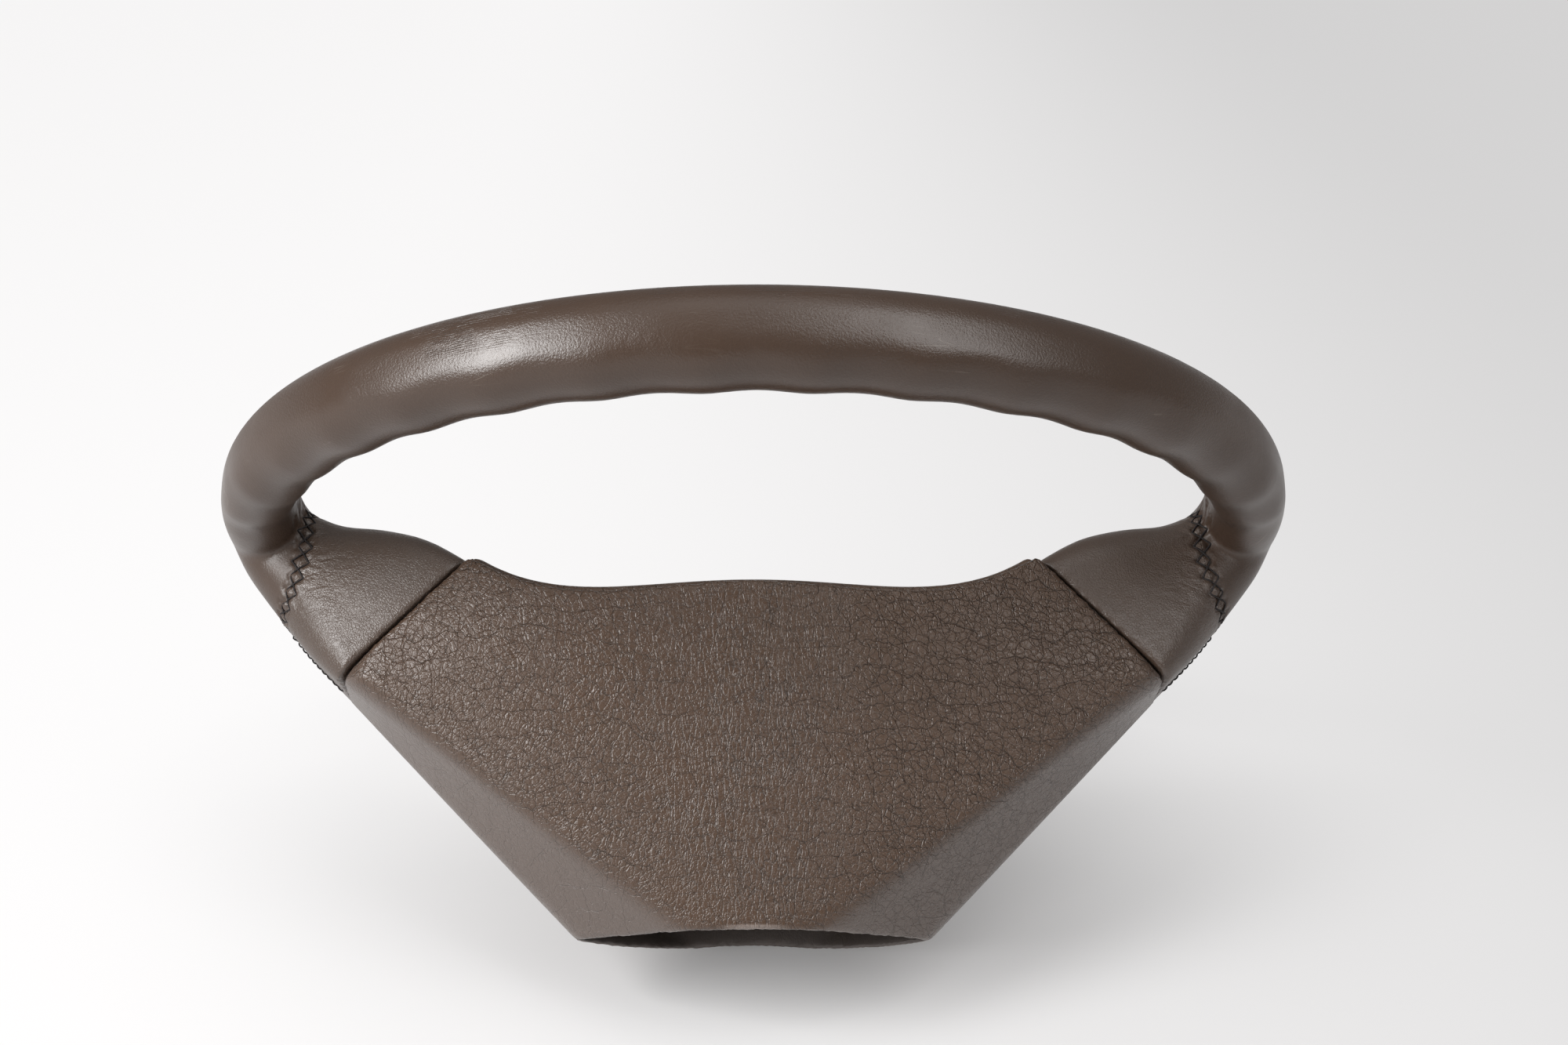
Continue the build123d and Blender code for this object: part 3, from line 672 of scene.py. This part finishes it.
def sleeve_leather_material(leather):
    """Spoke leather: fine grain, half matt, puckered towards the lacing."""
    material, desk, shader, place = new_material("sleeve_leather")
    lace = desk.node("Attribute", {"attribute_name": "lace"}).outputs["Fac"]
    grain = creases(desk, place, 950.0, 1.3, 0.26, 0.3)
    drawn = desk.node("Mapping", Vector=place, Rotation=(0, 0, 0.5), Scale=(90.0, 260.0, 260.0)).outputs[0]
    folds = desk.node("TexNoise", Vector=drawn, Scale=1.0, Detail=3.0, Distortion=0.8).outputs["Fac"]
    mottle = desk.node("TexNoise", Vector=place, Scale=55.0, Detail=4.0).outputs["Fac"]
    pucker = desk.maths("MULTIPLY", folds, desk.maths("MULTIPLY_ADD", lace, 7.0, 0.6))
    height = desk.maths("ADD", desk.maths("MULTIPLY", grain, 0.55), pucker)
    low, high = (rgba([c * f for c in leather.sleeve_colour]) for f in (0.86, 1.14))
    colour = desk.mix_colour(mottle, low, high)
    roughness = desk.ramp(mottle, 0.3, 0.7, 0.45, 0.39)
    finish_surface(desk, shader, colour, roughness, height, 0.00012, 0.65)
    return material


def moulded_grain_material(name, moulding, worn):
    """Moulded skin: long creases over a finer net, streaked over the middle and faint on the flanks, with
    painted shade in the deep creases and, on the shroud, a painted sheen on the flanks.
    """
    material, desk, shader, place = new_material(name)
    parts = desk.node("SeparateXYZ", Vector=place).outputs
    aside = desk.maths("ABSOLUTE", parts["X"])
    middle = desk.ramp(aside, 0.050, 0.012)
    upright = lines_along(desk, place, parts["X"], 112.0, 3.0, 0.036)
    level = lines_along(desk, place, parts["Y"], 118.0, 3.4, 0.038)
    slanting = desk.maths("MULTIPLY_ADD", parts["X"], 0.8, parts["Y"])
    second = lines_along(desk, place, slanting, 190.0, 4.0, 0.06)
    net = creases(desk, place, 215.0, 0.9, 0.070, 0.5)
    pebbles = creases(desk, place, 330.0, 1.0, 0.10, 0.30)
    fine = creases(desk, place, 640.0, 0.9, 0.16, 0.35)
    drawn = desk.node("Mapping", Vector=place, Scale=(1.0, 0.34, 1.0)).outputs[0]
    streaks = creases(desk, drawn, 480.0, 0.9, 0.13, 0.5)
    long_lines = desk.maths("ADD", desk.maths("MULTIPLY", level, 0.90), desk.maths("MULTIPLY", second, 0.60))
    small = desk.maths("MULTIPLY_ADD", pebbles, 0.75, desk.maths("MULTIPLY", fine, 0.25))
    sides = desk.maths("MULTIPLY_ADD", net, 0.45, desk.maths("ADD", small, long_lines))
    centre = desk.maths("MULTIPLY_ADD", level, 0.5, 0.85)
    for crease, weight in ((net, 0.4), (fine, 0.4), (streaks, 0.6)):
        centre = desk.maths("MULTIPLY_ADD", crease, weight, centre)
    base = desk.node("Mix", {"data_type": "FLOAT"}, i0=middle, i2=sides, i3=centre).outputs[0]
    height = desk.maths("MULTIPLY_ADD", upright, desk.maths("MULTIPLY_ADD", middle, -0.2, 1.0), base)
    # Painted shade: the colour darkens to 0.55 of the moulding's colour where the creases are deepest.
    dark = rgba([c * 0.55 for c in moulding.colour])
    colour = desk.mix_colour(desk.ramp(base, 1.7, 2.7), dark, rgba(moulding.colour))
    blotch = desk.node("TexNoise", Vector=place, Scale=30.0, Detail=3.0).outputs["Fac"]
    lighter = rgba([c * 1.15 for c in moulding.colour])
    colour = desk.mix_colour(desk.ramp(blotch, 0.3, 0.7, 0.0, 0.3), colour, lighter)
    roughness = desk.ramp(blotch, 0.3, 0.7, 0.38, 0.33)
    # The shroud's branch: fainter grain and a painted sheen on the flanks, a rubbed lip and a plain inside.
    if worn:
        face = desk.ramp(desk.maths("ABSOLUTE", parts["Z"]), 0.024, 0.033)
        uneven = desk.ramp(parts["X"], 0.03, -0.06, 0.9, 1.75)
        depth = desk.maths("MULTIPLY", desk.ramp(face, 0.0, 1.0, 0.7, 1.0), uneven)
        height = desk.maths("MULTIPLY", height, depth)
        # Painted sheen: away from the face, the flanks take the paler flank colour in place of the light they
        # reflect.
        colour = desk.mix_colour(face, rgba(moulding.flank_sheen_colour), colour)
        lip_edge = desk.maths("MULTIPLY_ADD", desk.maths("MULTIPLY", parts["X"], parts["X"]), 2.2, 0.0444)
        past = desk.maths("SUBTRACT", parts["Y"], lip_edge)
        upper = desk.ramp(parts["Z"], 0.026, 0.030)
        edge = desk.maths("MULTIPLY", desk.ramp(past, 0.0, 0.0008), upper)
        rub = desk.maths("MULTIPLY", edge, desk.ramp(aside, 0.014, 0.004))
        colour = desk.mix_colour(desk.maths("MULTIPLY", rub, 0.55), colour, rgba(moulding.worn_colour))
        inner = desk.node("Attribute", {"attribute_name": "inner"}).outputs["Fac"]
        colour = desk.mix_colour(inner, colour, (0.090, 0.074, 0.066, 1.0))
        height = desk.maths("MULTIPLY", height, desk.maths("MULTIPLY_ADD", inner, -0.8, 1.0))
        roughness = desk.maths("MULTIPLY_ADD", inner, 0.2, roughness)
    finish_surface(desk, shader, colour, roughness, height, 0.00021, 0.5)
    return material


def thread_material(lacing):
    """Waxed black thread with a twisted surface."""
    material, desk, shader, place = new_material("waxed_thread")
    fibre = desk.node("TexNoise", Vector=place, Scale=2600.0, Detail=2.0).outputs["Fac"]
    low, high = (rgba([c * f for c in lacing.colour]) for f in (0.6, 2.2))
    colour = desk.mix_colour(fibre, low, high)
    roughness = desk.ramp(fibre, 0.3, 0.7, 0.6, 0.8)
    finish_surface(desk, shader, colour, roughness, fibre, 0.00008, 0.25)
    return material


def plain_material(name, colour, metallic, low, high, scale, stretch, depth):
    """A hidden part's finish: a base colour with a fine brushed or cast unevenness."""
    material, desk, shader, place = new_material(name)
    turned = desk.node("Mapping", Vector=place, Scale=stretch).outputs[0]
    texture = desk.node("TexNoise", Vector=turned, Scale=scale, Detail=4.0).outputs["Fac"]
    dark, light = (rgba([min(1.0, c * f) for c in colour]) for f in (0.82, 1.15))
    tone = desk.mix_colour(texture, dark, light)
    roughness = desk.ramp(texture, 0.25, 0.75, low, high)
    finish_surface(desk, shader, tone, roughness, texture, depth)
    shader.inputs["Metallic"].default_value = metallic
    return material


class WHEEL_OT_leather(Operator):
    """Make the grip's leather and the two spoke sleeves"""

    bl_idname = "wheel.leather"
    bl_label = "Leather"

    def execute(self, context):
        leather = context.scene.wheel_leather
        grip, right, left = leather_parts(leather, context.scene.wheel_lacing)
        rim_finish = rim_leather_material(leather)
        sleeve_finish = sleeve_leather_material(leather)
        mesh = to_mesh(grip, "grip_leather")
        places = [rim_place(v.co) for v in mesh.vertices]
        store_values(mesh, "around", [around * RIM_RADIUS for around, _ in places])
        store_values(mesh, "across", [math.sin(across) * leather.grip_depth for _, across in places])
        store_values(mesh, "lace", [lace_nearness(v.co) for v in mesh.vertices])
        piece = add_piece("grip_leather", mesh, rim_finish, "wheel")
        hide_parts("rim_leather")
        for name, part in (("right", right), ("left", left)):
            mesh = to_mesh(part, "sleeve_leather_" + name)
            store_values(mesh, "lace", [lace_nearness(v.co) for v in mesh.vertices])
            piece = add_piece("sleeve_leather_" + name, mesh, sleeve_finish, "wheel")
            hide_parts("spoke_leather_" + name)
        return {"FINISHED"}


def inward_turn(v):
    """How far a vertex of the shroud faces the column, from nought to one."""
    outward = Vector((v.co.x, 0.0, 3.0 * v.co.z)).normalized()
    return smooth_step(0.0, -0.3, v.normal.dot(outward))


class WHEEL_OT_shroud(Operator):
    """Make the grained skin of the rear shroud"""

    bl_idname = "wheel.shroud"
    bl_label = "Rear Shroud"

    def execute(self, context):
        moulding = context.scene.wheel_moulding
        bm = voxel_skin(merged_copy("rear_shroud"), moulding.skin_size)
        relax(bm, 3)
        bm.normal_update()
        inner = [inward_turn(v) for v in bm.verts]
        finish = moulded_grain_material("shroud_grain", moulding, True)
        mesh = to_mesh(bm, "shroud_moulding")
        store_values(mesh, "inner", inner)
        piece = add_piece("shroud_moulding", mesh, finish, "wheel")
        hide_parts("rear_shroud")
        return {"FINISHED"}


class WHEEL_OT_horn_pad(Operator):
    """Make the padded horn button"""

    bl_idname = "wheel.horn_pad"
    bl_label = "Horn Pad"

    def execute(self, context):
        moulding = context.scene.wheel_moulding
        bm = voxel_skin(merged_copy("horn_pad"), moulding.pad_skin_size)
        relax(bm, 3)
        finish = moulded_grain_material("pad_grain", moulding, False)
        piece = add_piece("horn_cushion", to_mesh(bm, "horn_cushion"), finish, "pad")
        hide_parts("horn_pad")
        return {"FINISHED"}


def thread_mesh(name, lines, radius):
    """Round threads along lines of points."""
    curve = bpy.data.curves.new(name, "CURVE")
    curve.dimensions = "3D"
    curve.bevel_depth = radius
    curve.bevel_resolution = 2
    curve.use_fill_caps = True
    for points in lines:
        spline = curve.splines.new("NURBS")
        spline.points.add(len(points) - 1)
        for point, place in zip(spline.points, points):
            point.co = (*place, 1.0)
        spline.order_u = 3
        spline.use_endpoint_u = True
        spline.resolution_u = 2
    holder = bpy.data.objects.new(name, curve)
    bpy.context.scene.collection.objects.link(holder)
    graph = bpy.context.evaluated_depsgraph_get()
    mesh = bpy.data.meshes.new_from_object(holder.evaluated_get(graph))
    bpy.data.objects.remove(holder)
    bpy.data.curves.remove(curve)
    return mesh


def in_joint(co):
    """Whether a place lies in the cut of a laced joint."""
    side = side_of(co)
    return at_lacing(co, side) and abs(lacing_offset(co, side)) < 0.0005


def surface_of(*names, outer_only=False):
    """A search tree over the faces of some pieces, or of those outside the laced joints."""
    bm = bmesh.new()
    for name in names:
        bm.from_mesh(bpy.data.objects[name].data)
    if outer_only:
        hidden = [f for f in bm.faces if all(in_joint(v.co) for v in f.verts)]
        bmesh.ops.delete(bm, geom=hidden, context="FACES")
    tree = BVHTree.FromBMesh(bm)
    bm.free()
    return tree


def lift(tree, place, height):
    """The nearest place on a surface, raised off it."""
    spot, normal, _, _ = tree.find_nearest(place)
    return spot + normal * height


def cross_threads(side, sleeve, lacing):
    """Lines of the crossed threads over one laced joint."""
    bm = bmesh.new()
    bm.from_mesh(sleeve.data)
    inset = 0.0010
    ring = ring_of_edges(cut_ring(bm, side, inset))
    bm.free()
    count = stitch_count(ring, lacing)
    outward = lacing_frame(side)[2]
    grip_side = surface_of("grip_leather")
    sleeve_side = surface_of(sleeve.name)
    whole = surface_of("grip_leather", sleeve.name)
    rim_holes, spoke_holes = [], []
    for k, place in enumerate(even_points(ring, count)):
        stray = 0.0009 * noise.noise(Vector((k * 1.7, side * 3.0, 0.5)))
        rim_holes.append(lift(grip_side, place + outward * (inset + lacing.reach + stray), 0.0))
        spoke_holes.append(lift(sleeve_side, place + outward * (inset - lacing.reach + stray), 0.0))
    radius = lacing.thread / 2
    steps = (
        (-0.05, -1.5), (0.07, 0.7), (0.3, 0.9), (0.5, 0.9), (0.7, 0.9), (0.93, 0.7), (1.05, -1.5),
    )
    lines = []
    for k in range(count):
        after = (k + 1) % count
        for near, far, over in (
            (spoke_holes[k], rim_holes[after], 0.4), (rim_holes[k], spoke_holes[after], 1.2),
        ):
            heights = [h + over if t == 0.5 else h for t, h in steps]
            places = [near.lerp(far, t) for t, _ in steps]
            lines.append([lift(whole, place, radius * h) for place, h in zip(places, heights)])
    return lines


def seam_stitches(side, sleeve, lacing):
    """Lines of the short stitches along the back of one sleeve."""
    run = (SEAM_REAR - SEAM_FRONT).normalized()
    outward = Vector((run.y, -run.x, 0.0))
    surface = surface_of(sleeve.name)
    lines = []
    reach, end, step, lean = 0.004, 0.0335, 0.0030, 0.0007
    while reach < end:
        points = []
        for t, height in ((-0.55, -0.6), (-0.35, 0.5), (0.0, 0.9), (0.35, 0.5), (0.55, -0.6)):
            place = SEAM_FRONT + run * 0.075 + outward * (reach + t * step)
            spot = lift(surface, Vector((side * place.x, place.y, t * lean)), height * lacing.thread)
            points.append(spot)
        lines.append(points)
        reach += step
    return lines


class WHEEL_OT_lacing(Operator):
    """Lace the sleeves to the grip with crossed threads and stitch their rear seams"""

    bl_idname = "wheel.lacing"
    bl_label = "Lacing"

    def execute(self, context):
        lacing = context.scene.wheel_lacing
        finish = thread_material(lacing)
        for side, name in ((1, "right"), (-1, "left")):
            sleeve = bpy.data.objects["sleeve_leather_" + name]
            lines = cross_threads(side, sleeve, lacing) + seam_stitches(side, sleeve, lacing)
            mesh = thread_mesh("lacing_" + name, lines, lacing.thread / 2)
            add_piece("lacing_" + name, mesh, finish, "wheel")
        return {"FINISHED"}


class WHEEL_OT_filling(Operator):
    """Make the foam under the leather, hollowed where the leather is"""

    bl_idname = "wheel.filling"
    bl_label = "Foam Filling"

    def execute(self, context):
        leather = context.scene.wheel_leather
        bm = merged_copy("rim_foam")
        for v in bm.verts:
            ring_off = math.hypot(math.hypot(v.co.x, v.co.z) - RIM_RADIUS, v.co.y - RIM_Y)
            if 0.010 < ring_off < 0.016:
                v.co += hollow_move(v.co, leather)
        skin = surface_of("grip_leather", "sleeve_leather_right", "sleeve_leather_left", outer_only=True)
        for v in bm.verts:
            spot, normal, _, _ = skin.find_nearest(v.co, 0.005)
            if spot is not None and (v.co - spot).dot(normal) > -leather.cover:
                v.co = spot - normal * leather.cover
        finish = plain_material(
            "grip_foam", (0.030, 0.029, 0.028), 0.0, 0.70, 0.85, 500.0, (1.0, 1.0, 1.0), 0.00015)
        piece = add_piece("foam_filling", to_mesh(bm, "foam_filling"), finish, "wheel")
        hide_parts("rim_foam")
        return {"FINISHED"}


class WHEEL_OT_springs(Operator):
    """Make the horn's leaf springs in blued spring steel"""

    bl_idname = "wheel.springs"
    bl_label = "Horn Springs"

    def execute(self, context):
        bm = merged_copy("horn_springs")
        finish = plain_material(
            "blued_spring_steel", (0.22, 0.23, 0.26), 1.0, 0.28, 0.42, 900.0, (1.0, 0.1, 1.0), 0.00002)
        piece = add_piece("leaf_springs", to_mesh(bm, "leaf_springs"), finish, "wheel")
        piece.data.shade_flat()
        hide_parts("horn_springs")
        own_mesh(piece)
        return {"FINISHED"}


# Finishes inside: name, colour, metallic, least and most roughness, scale, stretch, depth, and the parts.
EVEN = (1.0, 1.0, 1.0)
INNER_FINISHES = (
    ("turned_steel", (0.42, 0.42, 0.43), 1.0, 0.28, 0.45, 700.0, (1.0, 0.15, 1.0), 0.00003,
     ("rim_core", "hub_boss")),
    ("zinc_plate", (0.50, 0.48, 0.44), 1.0, 0.30, 0.42, 500.0, EVEN, 0.00002,
     ("hub_rivets", "shroud_screws", "plate_screws", "guide_studs")),
    ("cast_alloy", (0.52, 0.52, 0.53), 1.0, 0.45, 0.65, 420.0, EVEN, 0.00008, ("spoke_frame",)),
    ("black_coat", (0.035, 0.035, 0.036), 0.0, 0.40, 0.55, 600.0, EVEN, 0.00003,
     ("contact_plate", "pad_plate")),
    ("bare_brass", (0.68, 0.50, 0.22), 1.0, 0.25, 0.42, 650.0, (1.0, 0.2, 1.0), 0.00002,
     ("slip_ring", "fixed_contacts", "moving_contacts")),
    ("natural_nylon", (0.62, 0.59, 0.51), 0.0, 0.42, 0.55, 300.0, EVEN, 0.00003,
     ("guide_bushes", "contact_insulators")),
    ("carrier_moulding", (0.06, 0.06, 0.06), 0.0, 0.45, 0.60, 400.0, EVEN, 0.00004, ("slip_ring_carrier",)),
    ("clip_steel", (0.24, 0.25, 0.27), 1.0, 0.30, 0.45, 700.0, EVEN, 0.00002, ("stud_circlips",)),
)


class WHEEL_OT_inner_finishes(Operator):
    """Give each part inside the wheel its own finish"""

    bl_idname = "wheel.inner_finishes"
    bl_label = "Inner Finishes"

    def execute(self, context):
        for name, colour, metallic, low, high, scale, stretch, depth, nodes in INNER_FINISHES:
            finish = plain_material(name, colour, metallic, low, high, scale, stretch, depth)
            for node in nodes:
                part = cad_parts[node]
                part.data.materials.clear()
                part.data.materials.append(finish)
        return {"FINISHED"}


def add_panel_light(name, place, target, size, power):
    """A soft rectangular light, turned to a target."""
    lamp = bpy.data.lights.new(name, "AREA")
    lamp.shape = "RECTANGLE"
    lamp.size, lamp.size_y = size
    lamp.energy = power
    holder = bpy.data.objects.new(name, lamp)
    holder.location = place
    holder.rotation_euler = (Vector(target) - Vector(place)).to_track_quat("-Z", "Y").to_euler()
    bpy.context.scene.collection.objects.link(holder)


def floor_material(studio):
    """A pale floor that keeps the shadow near the mouth, glows white farther off with a painted fall-off of
    light across it, shows the camera a darker painted copy of its colour, and is clear from below.
    """
    material = bpy.data.materials.new("pale_floor")
    material.use_nodes = True
    tree = material.node_tree
    tree.nodes.clear()
    desk = NodeDesk(tree)
    place = desk.node("TexCoord").outputs["Object"]
    parts = desk.node("SeparateXYZ", Vector=place).outputs
    # Painted shade: the glow falls from 1.0 at X 0.28 to 0.7 at X -0.62, a painted fall-off of light across
    # the floor.
    tone = desk.ramp(parts["X"], -0.62, 0.28, 0.70, 1.0)
    from_mouth = desk.node("VectorMath", {"operation": "DISTANCE"}, i0=place, i1=MOUTH).outputs["Value"]
    share = desk.ramp(from_mouth, 0.04, 0.32, 0.16, 0.9)
    path = desk.node("LightPath").outputs
    # Painted shade: the camera sees the floor's diffuse colour at 0.7 of the colour that bounces light onto
    # the wheel.
    lit, seen_by_camera = (rgba([c * f for c in studio.floor_colour]) for f in (1.0, 0.7))
    shade = desk.mix_colour(path["Is Camera Ray"], lit, seen_by_camera)
    surface = desk.node("BsdfDiffuse", Color=shade)
    glow = desk.node("Emission", Color=(1.0, 0.99, 0.99, 1.0), Strength=tone)
    seen = desk.maths("MAXIMUM", path["Is Camera Ray"], path["Is Glossy Ray"])
    share = desk.maths("MULTIPLY", seen, share)
    both = desk.node("MixShader", i0=share, i1=surface.outputs[0], i2=glow.outputs[0])
    clear = desk.node("BsdfTransparent")
    below = desk.node("NewGeometry").outputs["Backfacing"]
    sided = desk.node("MixShader", i0=below, i1=both.outputs[0], i2=clear.outputs[0])
    out = desk.node("OutputMaterial")
    tree.links.new(sided.outputs[0], out.inputs["Surface"])
    return material


def lay_floor(studio):
    """The leaned table that the wheel lies on."""
    bm = bmesh.new()
    bmesh.ops.create_grid(bm, x_segments=2, y_segments=2, size=6.0)
    bmesh.ops.rotate(bm, verts=bm.verts, matrix=Matrix.Rotation(TABLE_LEAN, 3, "X"))
    up = Vector((0, -math.sin(TABLE_LEAN), math.cos(TABLE_LEAN)))
    lying = [bpy.data.objects[name].data for name in ("grip_leather", "shroud_moulding")]
    resting = min(v.co.dot(up) for mesh in lying for v in mesh.vertices)
    bmesh.ops.translate(bm, verts=bm.verts, vec=up * (resting - TABLE_GAP))
    floor = bpy.data.objects.new("studio_floor", to_mesh(bm, "studio_floor"))
    bpy.context.scene.collection.objects.link(floor)
    floor.data.materials.append(floor_material(studio))


def light_world(studio):
    """An even light all round, with a white backdrop to the camera."""
    world = bpy.data.worlds.new("studio_world")
    world.use_nodes = True
    back = world.node_tree.nodes["Background"]
    back.inputs["Color"].default_value = (1.0, 0.99, 0.985, 1.0)
    desk = NodeDesk(world.node_tree)
    seen = desk.node("LightPath").outputs["Is Camera Ray"]
    strength = desk.maths("MULTIPLY_ADD", seen, 0.85 - studio.ambient, studio.ambient)
    world.node_tree.links.new(strength, back.inputs["Strength"])
    bpy.context.scene.world = world


def add_camera():
    """The camera of the photograph."""
    lens = bpy.data.cameras.new("photo_camera")
    lens.sensor_width = 36.0
    lens.lens = 46.8
    lens.shift_x = 0.0305
    lens.clip_start = 0.01
    lens.clip_end = 20.0
    camera = bpy.data.objects.new("photo_camera", lens)
    camera.location = CAMERA_PLACE
    axes = (CAMERA_RIGHT, CAMERA_UP, CAMERA_RIGHT.cross(CAMERA_UP))
    camera.rotation_euler = Matrix(axes).transposed().to_euler()
    bpy.context.scene.collection.objects.link(camera)
    bpy.context.scene.camera = camera


class WHEEL_OT_studio(Operator):
    """Set up the floor, the lights and the camera"""

    bl_idname = "wheel.studio"
    bl_label = "Studio"

    def execute(self, context):
        studio = context.scene.wheel_studio
        lay_floor(studio)
        light_world(studio)
        add_panel_light("key_left", (0.93, -0.20, 0.84), LIGHT_TARGET, (0.85, 0.45), studio.key)
        add_panel_light("fill_right", (-0.60, -0.38, 0.96), LIGHT_TARGET, (0.95, 0.55), studio.fill)
        add_panel_light("soft_overhead", (0.0, -1.22, 1.15), LIGHT_TARGET, (1.2, 1.2), studio.overhead)
        add_camera()
        context.scene.view_settings.view_transform = "Standard"
        return {"FINISHED"}


class WHEEL_PT_panel(Panel):
    """List the wheel's operators"""

    bl_idname = "WHEEL_PT_panel"
    bl_label = "Steering Wheel"
    bl_space_type = "VIEW_3D"
    bl_region_type = "UI"
    bl_category = "Wheel"

    def draw(self, context):
        for operator in OPERATORS:
            self.layout.operator(operator.bl_idname)
        for group in ("wheel_leather", "wheel_lacing", "wheel_moulding", "wheel_studio"):
            settings = getattr(context.scene, group)
            for name in settings.__annotations__:
                self.layout.prop(settings, name)


OPERATORS = (
    WHEEL_OT_leather, WHEEL_OT_lacing, WHEEL_OT_filling, WHEEL_OT_shroud, WHEEL_OT_horn_pad,
    WHEEL_OT_springs, WHEEL_OT_inner_finishes, WHEEL_OT_studio,
)
CLASSES = (WheelLeather, WheelLacing, WheelMoulding, WheelStudio, *OPERATORS, WHEEL_PT_panel)


def register():
    for cls in CLASSES:
        bpy.utils.register_class(cls)
    bpy.types.Scene.wheel_leather = PointerProperty(type=WheelLeather)
    bpy.types.Scene.wheel_lacing = PointerProperty(type=WheelLacing)
    bpy.types.Scene.wheel_moulding = PointerProperty(type=WheelMoulding)
    bpy.types.Scene.wheel_studio = PointerProperty(type=WheelStudio)


def unregister():
    del bpy.types.Scene.wheel_studio
    del bpy.types.Scene.wheel_moulding
    del bpy.types.Scene.wheel_lacing
    del bpy.types.Scene.wheel_leather
    for cls in reversed(CLASSES):
        bpy.utils.unregister_class(cls)


def main():
    register()
    bpy.ops.wheel.leather()
    bpy.ops.wheel.lacing()
    bpy.ops.wheel.filling()
    bpy.ops.wheel.shroud()
    bpy.ops.wheel.horn_pad()
    bpy.ops.wheel.springs()
    bpy.ops.wheel.inner_finishes()
    bpy.ops.wheel.studio()


if __name__ == "__main__":
    main()
